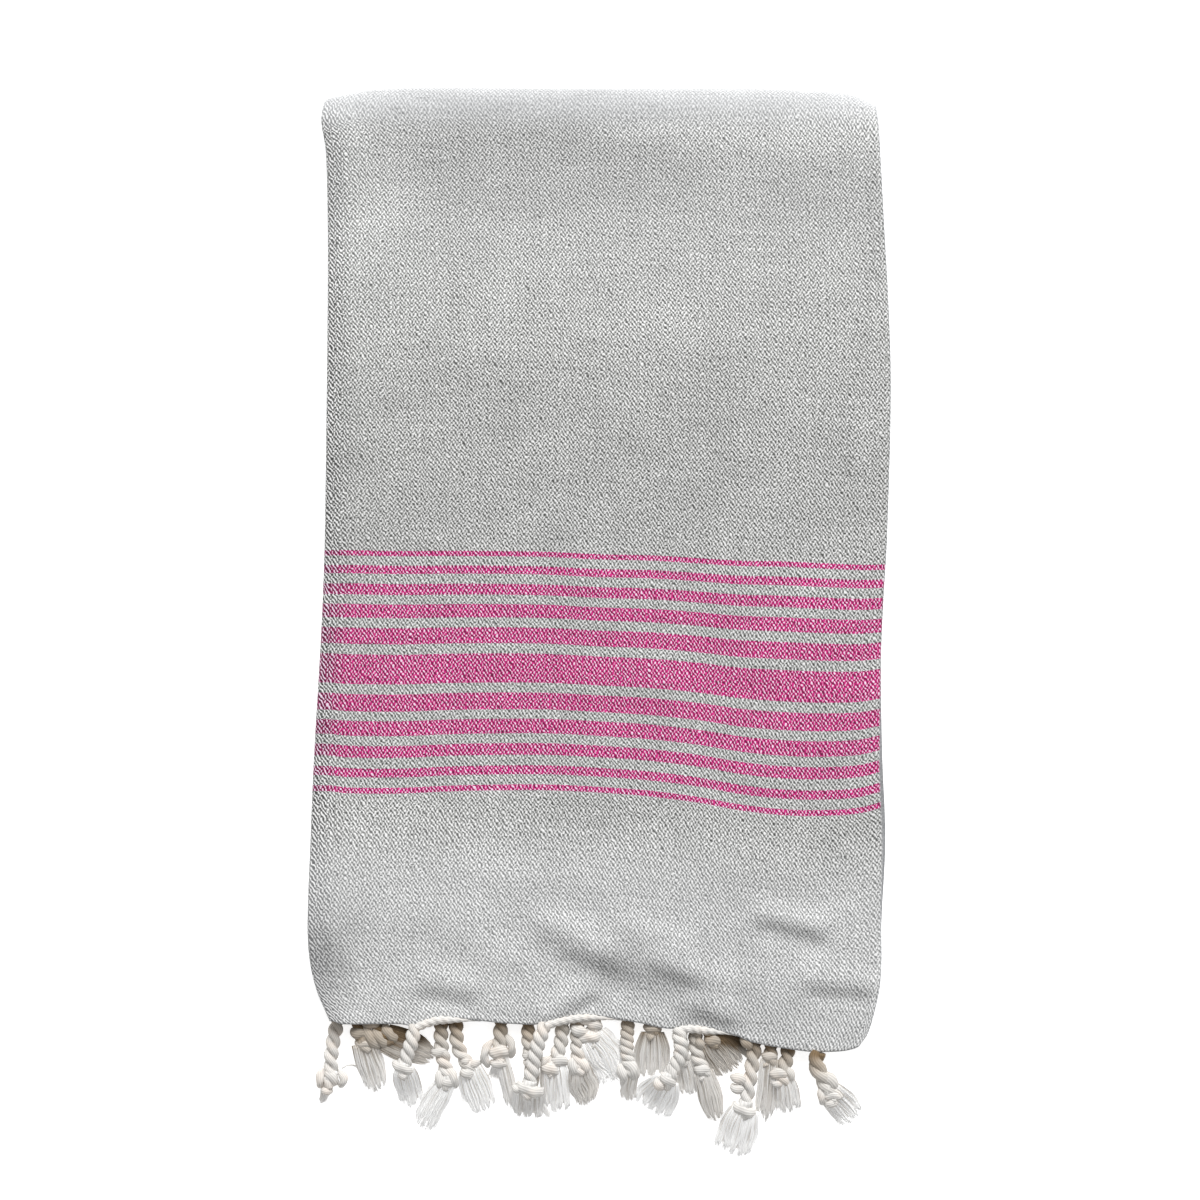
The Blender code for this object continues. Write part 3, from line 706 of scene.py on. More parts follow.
@dataclass
class FoldedCloth:
    """The whole cloth, folded in half across its width and once across its length.

    The four weave sizes say how far along the weave the hem, the striped band's last and first lines
    and the top fold lie.
    """

    thick: float = 1.5
    layer_air: float = 1.3
    roll_swell: float = 1.6
    roll_peak: float = 10.0
    roll_wide: float = 20.0
    roll_reach: float = 3.5
    top_radius: float = 5.0
    top_reach: tuple[float, float] = (24.0, 14.0)
    top_rise: float = 95.0
    lift_fade: float = 34.0
    hem_lift: float = 2.6
    hem_lift_reach: float = 55.0
    hem_inset: dict[str, float] = field(default_factory=lambda: {"A": 0.0, "B": 7.0, "C": 10.0, "D": 8.5})
    selvedge_behind: float = 3.5
    selvedge_step_at: float = -165.0
    selvedge_step_wide: float = 85.0
    outer_columns: int = 136
    inner_columns: int = 44
    fold_columns: int = 7
    front_rows: int = 172
    top_rows: int = 18
    back_rows: int = 36
    ripple_high: float = 0.55
    ripple_long: float = 55.0
    lowest_lift: float = -0.7
    ripple_stretch: float = 1.6
    ripple_seed: float = 7.0
    crease_fade: float = 3.0
    hem_slack: float = 40.0
    hem_sag: Span = (-353.0, -372.0)
    sag_from: float = -20.0
    sag_wide: float = 200.0
    reach_fade: float = 2.2
    row_spacing: float = 1.15
    weave_hem: float = -353.0
    weave_last: float = -148.2
    weave_first: float = 63.6
    weave_top: float = 474.2
    flat_size: tuple[float, float] = (1.00, 1.68)

    def __post_init__(self) -> None:
        """Works out the sizes that follow from the others."""
        self.half_layer = (self.thick + self.layer_air) / 2
        self.fold_inset = self.thick / 2 + self.roll_reach
        self.wide = HEM[-1].x - HEM[0].x

    def left_at(self, y: float) -> float:
        """Where the left fold lies, so far up the towel."""
        return read(SIDES, "y", "left", y)

    def right_at(self, y: float) -> float:
        """Where the right selvedge lies, so far up the towel."""
        return read(SIDES, "y", "right", y)

    def hem_y(self, layer: str, share: float) -> float:
        """How far down a layer's hem reaches, at a share of the width from its selvedge."""
        return read(HEM, "x", "y", blend(HEM[-1].x, HEM[0].x, share)) + self.hem_inset[layer]

    def hem_at(self, layer: str, x: float) -> float:
        """How far down a layer's hem reaches, at a place across the towel."""
        right = self.right_at(HEM[-1].y + self.hem_inset[layer])
        left = self.left_at(HEM[0].y + self.hem_inset[layer]) + self.fold_inset
        return self.hem_y(layer, (right - x) / (right - left))

    def half_pitch(self, from_left: float) -> float:
        """Half the distance between a folded pair's two layers."""
        return self.half_layer + self.roll_swell * swell(from_left - self.roll_peak, self.roll_wide)

    def crease_lift(self, x: float, y: float) -> float:
        """How far the creases raise the front."""
        total = 0.0
        for crease in CREASES + FINE_CREASES:
            past_ends = abs(y - (crease.y1 + crease.y2) / 2) - abs(crease.y2 - crease.y1) / 2
            if past_ends > self.crease_fade * crease.wide:
                continue
            run_x = crease.x2 - crease.x1
            run_y = crease.y2 - crease.y1
            share = ((x - crease.x1) * run_x + (y - crease.y1) * run_y) / (run_x**2 + run_y**2)
            share = min(max(share, 0.0), 1.0)
            away = math.hypot(x - crease.x1 - share * run_x, y - crease.y1 - share * run_y)
            total += crease.high * swell(away, crease.wide)
        return total

    def front_lift(self, x: float, y: float) -> float:
        """How far the front pair is raised by creases, ripples and the tassels under its hem."""
        above_hem = max(y - self.hem_at("A", x), 0.0)
        place = Vector((x, y * self.ripple_stretch, self.ripple_seed))
        ripple = self.ripple_high * noise.noise(place / self.ripple_long)
        lift = self.hem_lift * swell(above_hem, self.hem_lift_reach) + self.crease_lift(x, y) + ripple
        return max(lift, self.lowest_lift)

    def layer_height(self, layer: str, x: float, y: float) -> float:
        """The height of a layer's middle on the straight part of the towel."""
        half = self.half_pitch(x - self.left_at(y))
        heights = {"D": self.thick / 2, "C": self.thick / 2 + 2 * half}
        heights["B"] = heights["C"] + 2 * self.half_layer + self.front_lift(x, y)
        heights["A"] = heights["B"] + 2 * half
        return heights[layer]

    def reach(self, share: float) -> float:
        """How much longer than high the top fold's roll is, at a share of the width."""
        return blend(*self.top_reach, float(ease(share * self.reach_fade)))

    def loop_at(self, share: float, outermost: float) -> float:
        """Where the top fold's open loop has its middle, at a share of the width."""
        top_x = blend(TOP[-1].x, TOP[0].x, share)
        return read(TOP, "x", "y", top_x) - self.top_radius - self.reach(share) - outermost - self.thick / 2

    def level_y(self, layer: str, share: float, row: Row, offset: float, outermost: float) -> float:
        """How far up the cloth a row lies, at a share of the width."""
        loop_y = self.loop_at(share, outermost)
        if row.stretch is Stretch.TOP:
            round_reach = self.top_radius + self.reach(share) + offset
            return loop_y + round_reach * math.cos(math.radians(row.place))
        return blend(self.hem_y(layer, share), loop_y, row.place)

    def point(self, column: Column, row: Row) -> Vector:
        """A point of the cloth's middle.

        Args:
            column: Its line along the cloth.
            row: Its line across the cloth.

        Returns:
            Its place, in metres.
        """
        share = column.share
        outward = (1 + math.sin(math.radians(column.round_left))) / 2
        layer = row.stretch.value.upper()[outward > 0.5]
        from_left = self.roll_reach + (1 - share) * self.wide
        pair_wide = 2 * self.half_pitch(from_left)
        outermost = self.half_layer + pair_wide
        offset = self.half_layer + pair_wide * outward
        y, y_left, y_right = (self.level_y(layer, at, row, offset, outermost) for at in (share, 1.0, 0.0))
        step_back = self.selvedge_behind * swell(y - self.selvedge_step_at, self.selvedge_step_wide)
        right = self.right_at(y_right) - (step_back if layer in "AB" else 0.0)
        x = blend(right, self.left_at(y_left) + self.fold_inset, share)
        x -= self.roll_reach * math.cos(math.radians(column.round_left))
        between = self.thick / 2 + outermost
        if row.stretch is Stretch.TOP:
            z = between + self.top_radius + (self.top_radius + offset) * math.sin(math.radians(row.place))
        else:
            z = between + (offset if row.stretch is Stretch.FRONT else -offset)
        if row.stretch is Stretch.FRONT:
            to_loop = self.loop_at(share, outermost) - y
            z += 2 * self.top_radius * float(ease(1 - to_loop / self.top_rise))
            z += self.front_lift(x, y) * float(ease(to_loop / self.lift_fade))
        return Vector((x, y, z)) * MM

    def weave_place(self, column: Column, row: Row, point: Vector) -> tuple[float, float]:
        """Where a point lies in the weave, whose weft lines sag as the stripes do.

        Args:
            column: Its line along the cloth.
            row: Its line across the cloth.
            point: Its place, in metres.

        Returns:
            Its distance across the cloth from the front's selvedge, and along it, in metres.
        """
        turn = math.pi * self.roll_reach * (90 - column.round_left) / 180
        across = column.share * self.wide + turn
        if column.round_left < 0:
            across = self.wide + turn + (1 - column.share) * self.wide
        x, y = point.x / MM, point.y / MM
        if row.stretch is Stretch.FRONT:
            return across * MM, self.weave_along(x, y) * MM
        loop_y = self.loop_at(column.share, 3 * self.half_layer)
        roll = self.reach(column.share) + 4 * self.half_layer + 2 * self.top_radius
        past = 2 * roll + (1 - row.place) * (loop_y - self.weave_hem)
        if row.stretch is Stretch.TOP:
            past = roll * (90 - row.place) / 90
        return across * MM, (self.weave_along(x, loop_y) + past) * MM

    def weave_along(self, x: float, y: float) -> float:
        """How far along the weave a place on the front lies, counted from the towel's middle."""
        hem = self.hem_line(x)
        rows = (
            Edge(hem - self.hem_slack, self.weave_hem - self.hem_slack),
            Edge(hem, self.weave_hem),
            Edge(read(WEFTS, "x", "last", x), self.weave_last),
            Edge(read(WEFTS, "x", "first", x), self.weave_first),
            Edge(self.weave_top, self.weave_top),
        )
        return read(rows, "x", "y", y)

    def hem_line(self, x: float) -> float:
        """The hem's slow sag, without the pull of its tassels."""
        return blend(*self.hem_sag, float(ease((x - self.sag_from) / self.sag_wide)))

    def columns(self) -> list[Column]:
        """The lines along the cloth, from the front's selvedge round the left fold and back."""
        outer = [Column(k / self.outer_columns, 90.0) for k in range(self.outer_columns)]
        fold = [Column(1.0, 90.0 - 180.0 * k / self.fold_columns) for k in range(self.fold_columns + 1)]
        inner = [Column(1 - k / self.inner_columns, -90.0) for k in range(1, self.inner_columns + 1)]
        return outer + fold + inner

    def rows(self) -> list[Row]:
        """The lines across the cloth, from the front hem over the top fold to the back hem."""
        shares = [k / self.front_rows for k in range(self.front_rows)]
        front = [Row(Stretch.FRONT, share**self.row_spacing) for share in shares]
        top = [Row(Stretch.TOP, 90.0 - 180.0 * k / self.top_rows) for k in range(self.top_rows + 1)]
        back = [Row(Stretch.BACK, 1 - k / self.back_rows) for k in range(1, self.back_rows + 1)]
        return front + top + back

    def build(self) -> bpy.types.Object:
        """Lays a flat grid back and forth into four layers, and gives it its thickness.

        Returns:
            The cloth's object.
        """
        columns = self.columns()
        rows = self.rows()
        bm = bmesh.new()
        bmesh.ops.create_grid(bm, x_segments=len(columns) - 1, y_segments=len(rows) - 1, size=0.5)
        weave = bm.loops.layers.uv.new(WEAVE_UV)
        rim = bm.verts.layers.float.new(RIM)
        places = {}
        for vert in bm.verts:
            column = columns[round((vert.co.x + 0.5) * (len(columns) - 1))]
            row = rows[round((vert.co.y + 0.5) * (len(rows) - 1))]
            vert.co = self.point(column, row)
            places[vert] = self.weave_place(column, row, vert.co)
            vert[rim] = float(vert.is_boundary)
        for face in bm.faces:
            for loop in face.loops:
                loop[weave].uv = places[loop.vert]
        mesh = bpy.data.meshes.new("woven_cloth")
        bm.to_mesh(mesh)
        bm.free()
        cloth = finish_mesh("woven_cloth", mesh, WovenCotton().make())
        thickness = cloth.modifiers.new("Thickness", "SOLIDIFY")
        thickness.thickness = self.thick * MM
        thickness.offset = 0
        return cloth

    def dress(self, cloth: bpy.types.Object, tassels: list[bpy.types.Object]) -> None:
        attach(cloth, BODY)
        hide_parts("towel_cloth")


# ---------------------------------------------------------------- tubes of yarn


class TubeTemplate(NamedTuple):
    """A straight tube: each corner's ring and angle, its faces, and their corners' map."""

    ring: np.ndarray
    angle: np.ndarray
    faces: list[list[int]]
    around: np.ndarray
    share: np.ndarray


@lru_cache(maxsize=None)
def tube_template(rings: int, sides: int) -> TubeTemplate:
    """Rolls a flat grid into a tube with closed ends.

    Args:
        rings: How many rings of points it has.
        sides: How many points a ring has.

    Returns:
        The tube, for bending along a path.
    """
    bm = bmesh.new()
    bmesh.ops.create_grid(bm, x_segments=sides, y_segments=rings - 1, size=0.5)
    roll = bm.loops.layers.uv.new("Roll")
    for face in bm.faces:
        for loop in face.loops:
            loop[roll].uv = (loop.vert.co.x + 0.5, loop.vert.co.y + 0.5)
    for vert in bm.verts:
        angle = 2 * math.pi * (vert.co.x + 0.5)
        vert.co = Vector((math.cos(angle), math.sin(angle), vert.co.y + 0.5))
    bmesh.ops.remove_doubles(bm, verts=bm.verts, dist=0.001 / rings)
    bmesh.ops.holes_fill(bm, edges=[edge for edge in bm.edges if edge.is_boundary])
    bmesh.ops.recalc_face_normals(bm, faces=bm.faces)
    bm.verts.index_update()
    spots = [vert.co.copy() for vert in bm.verts]
    faces = [[vert.index for vert in face.verts] for face in bm.faces]
    corners = [loop[roll].uv.copy() for face in bm.faces for loop in face.loops]
    bm.free()
    return TubeTemplate(
        ring=np.array([round(spot.z * (rings - 1)) for spot in spots]),
        angle=np.array([math.atan2(spot.y, spot.x) for spot in spots]),
        faces=faces,
        around=np.array([corner.x for corner in corners]),
        share=np.array([corner.y for corner in corners]),
    )


@dataclass(frozen=True)
class Lobes:
    """The strands that show in a tube's outline: how many, how deep, and the length of a turn."""

    count: int = 0
    depth: float = 0.0
    pitch: float = 1.0


class YarnBundle:
    """Many bent tubes, joined into one mesh."""

    def __init__(self) -> None:
        """Starts with no tubes."""
        self.points: list[np.ndarray] = []
        self.faces: list[list[int]] = []
        self.corners: list[np.ndarray] = []
        self.shades: list[np.ndarray] = []
        self.bounds: list[np.ndarray] = []
        self.count = 0

    def add(
        self,
        path: np.ndarray,
        aside: np.ndarray,
        wide: np.ndarray,
        high: np.ndarray,
        sides: int,
        lobes: Lobes,
        shade: np.ndarray,
        bound: float,
    ) -> None:
        """Bends a tube along a path.

        Args:
            path: Its middle line, a row of x, y, z for each ring, in millimetres.
            aside: The direction of its width at each ring.
            wide: Half its width at each ring.
            high: Half its height at each ring.
            sides: How many points a ring has.
            lobes: The strands that its outline shows.
            shade: The painted shade at each ring, from 0 to 1, deepest near the hem.
            bound: How tightly the yarn is bound, from 0 in a tuft to 1 in a cord.
        """
        template = tube_template(len(path), sides)
        runs = np.gradient(path, axis=0)
        steps = np.linalg.norm(runs, axis=1, keepdims=True)
        runs = runs / np.maximum(steps, 1e-9)
        aside = aside - (aside * runs).sum(1, keepdims=True) * runs
        aside = aside / np.maximum(np.linalg.norm(aside, axis=1, keepdims=True), 1e-9)
        level = np.cross(runs, aside)
        gone = np.concatenate([[0.0], np.cumsum(np.linalg.norm(np.diff(path, axis=0), axis=1))])
        ring, angle = template.ring, template.angle
        turned = angle - 2 * math.pi * gone[ring] / lobes.pitch
        grown = 1 + lobes.depth * np.cos(lobes.count * turned)
        offs = aside[ring] * (wide[ring] * grown * np.cos(angle))[:, None]
        offs = offs + level[ring] * (high[ring] * grown * np.sin(angle))[:, None]
        self.points.append(path[ring] + offs)
        self.faces.extend([corner + self.count for corner in face] for face in template.faces)
        self.corners.append(np.stack([template.around, template.share * gone[-1] * MM], axis=1))
        self.shades.append(shade[ring])
        self.bounds.append(np.full(len(ring), bound))
        self.count += len(ring)

    def mesh(self, name: str) -> bpy.types.Mesh:
        """Joins the tubes.

        Args:
            name: The mesh's name.

        Returns:
            One mesh with a yarn map and each point's painted shade, deepest near the hem.
        """
        mesh = bpy.data.meshes.new(name)
        mesh.from_pydata((np.concatenate(self.points) * MM).tolist(), [], self.faces)
        layer = mesh.uv_layers.new(name=YARN_UV)
        layer.data.foreach_set("uv", np.concatenate(self.corners).astype(np.float32).ravel())
        for attribute, values in ((ROOT_SHADE, self.shades), (BOUND, self.bounds)):
            made = mesh.attributes.new(attribute, "FLOAT", "POINT")
            made.data.foreach_set("value", np.concatenate(values).astype(np.float32))
        mesh.update()
        return mesh


# ---------------------------------------------------------------- the tassels


class Arc(NamedTuple):
    """A turn of a knot: where it comes up and goes under, its bow to the left and half its width."""

    x1: float
    y1: float
    x2: float
    y2: float
    bow: float
    half: float


class Wisp(NamedTuple):
    """A few loose yarns apart from a tassel's tuft: their run, their bow and how wide they lie."""

    x1: float
    y1: float
    x2: float
    y2: float
    bow: float
    wide: float


class Tassel(NamedTuple):
    """A tassel: its layer, where its cord starts, passes, knots and ends, and how it is combed."""

    layer: str
    root_x: float
    mid_x: float
    mid_y: float
    knot_x: float
    knot_y: float
    tip_x: float
    tip_y: float
    spread: float
    size: float
    arcs: tuple[Arc, ...]
    pitch: float = 19.0
    cord: float = 1.0
    apart: float = 1.0
    neck: float = 0.8
    bell: float = 1.1
    locks: int = 4
    wave: float = 0.7
    hem_rope: float = 0.0
    # How deep the painted shade from the hem falls on this tassel, and the least painted shade on its loose
    # yarns.
    shade: float = 1.05
    tuft_shade: float = 0.0
    wisps: tuple[Wisp, ...] = ()


TASSELS = (
    Tassel(
        "B", -231.0, -238.0, -379.7, -238.5, -403.6, -247.0, -426.0, 8, 1.0,
        table(Arc, (
            (-247.0, -396, -247.6, -413, -1, 3.6), (-232.2, -398, -231.6, -412, 5, 3.6),
            (-243.0, -397, -234.0, -410, 1, 4.4), (-246.0, -414, -238.0, -416, -0.5, 3.2),
        )),
        pitch=22, neck=0.96, locks=2, shade=0.55, tuft_shade=0.22,
        wisps=(Wisp(-229, -396, -214, -396, 3, 1.6),),
    ),
    Tassel(
        "C", -214.6, -213.6, -361.1, -210.0, -371.7, -196.9, -415.0, 22, 1.0,
        (Arc(-216.8, -373, -201.4, -374.5, 0, 3.6), Arc(-220.0, -362, -208.0, -365, -1, 4.8)),
        neck=0.96, shade=1.9, tuft_shade=0.2,
    ),
    Tassel(
        "D", -198.7, -196.9, -360.2, -191.5, -368.0, -147.0, -386.5, 28, 0.9,
        table(Arc, (
            (-211.0, -354.6, -195.5, -357.0, 0, 4.2), (-208.5, -357, -194.0, -377, -3, 4.8),
            (-200.2, -359, -184.8, -374.5, -3.5, 4.6), (-191.0, -355.5, -177.7, -370.4, -3, 4.6),
        )),
        pitch=18, neck=0.90, locks=1, shade=2.6, tuft_shade=0.5,
    ),
    Tassel(
        "A", -163.5, -167.0, -372.6, -173.7, -393.5, -166.5, -428.5, 22, 1.0,
        (Arc(-183.2, -389.5, -164.1, -396.8, -1.5, 4.2),),
        pitch=17, neck=0.90, hem_rope=58, shade=0.2,
    ),
    Tassel(
        "C", -141.2, -140.3, -377.9, -134.8, -404.4, -158.0, -448.0, 22, 1.0,
        table(Arc, (
            (-141.4, -397, -139.9, -414.4, -1.5, 3.9), (-135.5, -394, -128.9, -413, 2, 4.3),
            (-139.9, -405, -128.9, -408.6, -1, 4.5), (-148.7, -381.4, -136.2, -380.7, 0, 3.8),
        )),
        pitch=20, neck=0.72, shade=1.5, locks=5,
    ),
    Tassel(
        "D", -127.9, -126.1, -374.4, -115.5, -394.6, -101.5, -433.0, 25, 0.95,
        table(Arc, (
            (-122.3, -389.5, -114.9, -389.5, 1, 3.8), (-116.4, -393, -106.1, -391, 1, 3.6),
            (-121.5, -396.8, -112.7, -399.8, -1.5, 4.6),
        )),
        pitch=22, neck=0.82, shade=1.5, locks=5, tuft_shade=0.03,
        wisps=(Wisp(-125, -402, -118, -426, 0, 7),),
    ),
    Tassel(
        "D", -87.2, -88.1, -364.3, -88.6, -381.0, -76.6, -431.0, 13, 1.05,
        table(Arc, (
            (-94.6, -371, -98.0, -395, -6, 3.7), (-83.8, -366, -79.7, -386.5, 4, 3.5),
            (-97.3, -382, -81.1, -381, 0.5, 5.4), (-96.7, -390, -81.8, -391, -1, 3.8),
        )),
        pitch=22, neck=0.84, tuft_shade=0.18, wisps=(Wisp(-91, -393, -94, -405, 0, 12),),
    ),
    Tassel(
        "C", -63.3, -63.3, -371.7, -60.6, -386.7, -59.7, -415.1, 12, 0.65,
        (Arc(-68, -384, -56, -386, 0.5, 3.6), Arc(-67, -390, -56, -391, -0.5, 3.4)),
        pitch=18, tuft_shade=0.44,
    ),
    Tassel(
        "A", -48.2, -55.3, -376.1, -62.6, -410.5, -63.5, -439.5, 27, 1.1,
        (Arc(-73.0, -408, -50.3, -417, -1.5, 5.2), Arc(-76.5, -410.5, -70.9, -415.6, 0, 3.0)),
        pitch=17, neck=0.96, bell=1.12, locks=3, hem_rope=72, shade=0.12, tuft_shade=0.15,
        wisps=(Wisp(-53, -419, -43, -440, -2, 5),),
    ),
    Tassel(
        "B", -32.3, -34.1, -370.8, -41.0, -392.9, -38.5, -433.0, 25, 1.0,
        table(Arc, (
            (-52.7, -394, -43.9, -386.5, 1.5, 3.4), (-51.3, -392, -35.7, -398, -1, 5.2),
            (-42.5, -388.5, -29.0, -390, 1, 5.0),
        )),
        neck=0.89, bell=1.06, shade=0.7, tuft_shade=0.06,
    ),
    Tassel(
        "B", -5.0, -5.5, -359.1, -7.5, -367.0, 19.0, -405.0, 37, 1.0,
        table(Arc, (
            (-23.8, -358.7, -11.5, -363.9, -1, 5.0), (-10.2, -355.5, 0.9, -359.4, 1, 4.6),
            (-19.9, -368.4, 3.6, -365.4, -1, 4.6), (-17.5, -352.6, -5.5, -353.6, 0, 3.8),
        )),
        pitch=20, neck=0.82, locks=5, wave=2.6, shade=0.3,
    ),
    Tassel(
        "D", -19.9, -19.9, -373.5, -18.5, -393.0, -11.0, -427.0, 25, 0.85,
        (Arc(-22.5, -386, -20.9, -401, -2, 4.4), Arc(-16.0, -387, -12.0, -400, 1, 3.8)),
        pitch=18, neck=0.72, locks=2, wave=2.2, tuft_shade=0.33,
    ),
    Tassel(
        "C", 26.1, 24.3, -376.6, 26.8, -396.0, 25.5, -424.0, 14, 0.8,
        (Arc(22.9, -388, 31.4, -405, 2.5, 5.0), Arc(19.0, -392, 22.9, -407, -1, 4.2)),
        pitch=13, neck=1.00, wave=1.2, shade=0.9, tuft_shade=0.26,
    ),
    Tassel(
        "D", 43.5, 46.0, -357.4, 47.0, -362.4, 46.5, -403.0, 27, 0.75,
        (Arc(39.5, -359, 54.5, -361, 0, 3.8),),
        neck=0.72, bell=1.3, locks=3, wave=0.4, tuft_shade=0.22,
    ),
    Tassel(
        "A", 69.5, 72.1, -380.6, 61.5, -402.6, 45.0, -433.0, 38, 1.05,
        table(Arc, (
            (65.3, -389, 65.9, -407.3, -1, 3.8), (51.0, -404, 56.2, -412.5, -2, 3.9),
            (54.9, -400, 67.2, -408.6, -1, 4.6),
        )),
        pitch=15.6, neck=0.50, locks=5, hem_rope=52, shade=0.1,
    ),
    Tassel(
        "D", 72.1, 72.1, -373.5, 74.8, -386.7, 80.5, -419.0, 18, 0.65,
        (Arc(69, -383, 79, -385, 0, 3.6),),
        pitch=16, neck=0.60, shade=0.8, tuft_shade=0.22,
    ),
    Tassel(
        "D", 98.4, 98.3, -362.7, 99.0, -368.6, 121.0, -396.0, 34, 0.95,
        table(Arc, (
            (86.9, -368.2, 91.1, -377.6, 0, 3.7), (94.5, -370, 105.5, -373.3, 1, 5.2),
            (91.0, -361.5, 104.0, -364.0, 0, 4.0), (126.5, -367.5, 134.5, -377.5, 0, 4.4),
        )),
        pitch=18, neck=0.74, shade=1.9, wave=1.0, locks=6, tuft_shade=0.5,
        wisps=(Wisp(109, -357.5, 138, -375.5, 1, 13),),
    ),
    Tassel(
        "C", 86.3, 85.4, -377.9, 92.0, -397.5, 104.5, -441.0, 20, 0.82,
        (Arc(85.2, -396.2, 97.0, -398, 0.5, 4.6),),
        pitch=18, neck=0.84, wave=1.0, locks=2, shade=0.8, tuft_shade=0.32,
    ),
    Tassel(
        "B", 139.4, 135.8, -391.2, 129.2, -429.2, 117.0, -472.0, 35, 1.1,
        table(Arc, (
            (118.6, -426.7, 139.8, -436, -2, 4.9), (117.5, -404.0, 128.0, -409.5, 2.5, 4.8),
            (117.5, -411.0, 128.0, -413.8, -1.5, 4.0),
        )),
        pitch=24, neck=0.72, locks=5, wave=0.9, shade=1.1,
    ),
    Tassel(
        "D", 153.5, 152.7, -374.9, 151.5, -386.5, 147.0, -442.0, 17, 0.8,
        (Arc(145, -384, 157, -386, 0, 4.0), Arc(144, -369.5, 158, -373.5, 0, 4.0)),
        pitch=18, neck=0.96, wave=0.9, tuft_shade=0.22,
    ),
    Tassel(
        "C", 167.7, 166.8, -384.7, 161.5, -402.0, 167.0, -434.5, 26, 0.9,
        table(Arc, (
            (165.2, -395, 168.9, -407.4, 3, 3.4), (152.8, -407.4, 163.3, -409.2, -1, 3.0),
            (151.5, -400, 166.4, -401.2, 0.5, 4.8),
        )),
        pitch=20, neck=0.74, shade=1.1, tuft_shade=0.14,
    ),
    Tassel(
        "A", 194.3, 192.0, -391.2, 203.5, -414.0, 226.5, -441.5, 26, 1.15,
        table(Arc, (
            (196.8, -410, 198.7, -427.3, -1.5, 3.2), (200.6, -426, 210.5, -424.8, 0, 3.8),
            (197.5, -419.8, 214.2, -420.4, 1.5, 4.2), (198.7, -400, 208.6, -413, 2, 5.4),
        )),
        pitch=27, cord=1.36, apart=0.6, neck=0.84, locks=5, wave=0.5, shade=1.3,
    ),
)


class SmoothLine:
    """A smooth line through a few points, read by the distance along it."""

    STEPS = 16

    def __init__(self, points: Sequence[np.ndarray]) -> None:
        """Runs the line through the points, in millimetres."""
        ends = [2 * points[0] - points[1], *points, 2 * points[-1] - points[-2]]
        line = []
        for i in range(1, len(ends) - 2):
            a, b, c, d = ends[i - 1 : i + 3]
            for step in range(self.STEPS):
                t = step / self.STEPS
                bend = 2 * a - 5 * b + 4 * c - d
                line.append(0.5 * (2 * b + (c - a) * t + bend * t**2 + (3 * (b - c) + d - a) * t**3))
        self.line = np.array(line + [points[-1]])
        gaps = np.linalg.norm(np.diff(self.line, axis=0), axis=1)
        self.marks = np.concatenate([[0.0], np.cumsum(gaps)])
        self.long = float(self.marks[-1])

    def at(self, distance: np.ndarray) -> np.ndarray:
        """The points at these distances along the line."""
        return np.stack([np.interp(distance, self.marks, self.line[:, k]) for k in range(3)], axis=1)


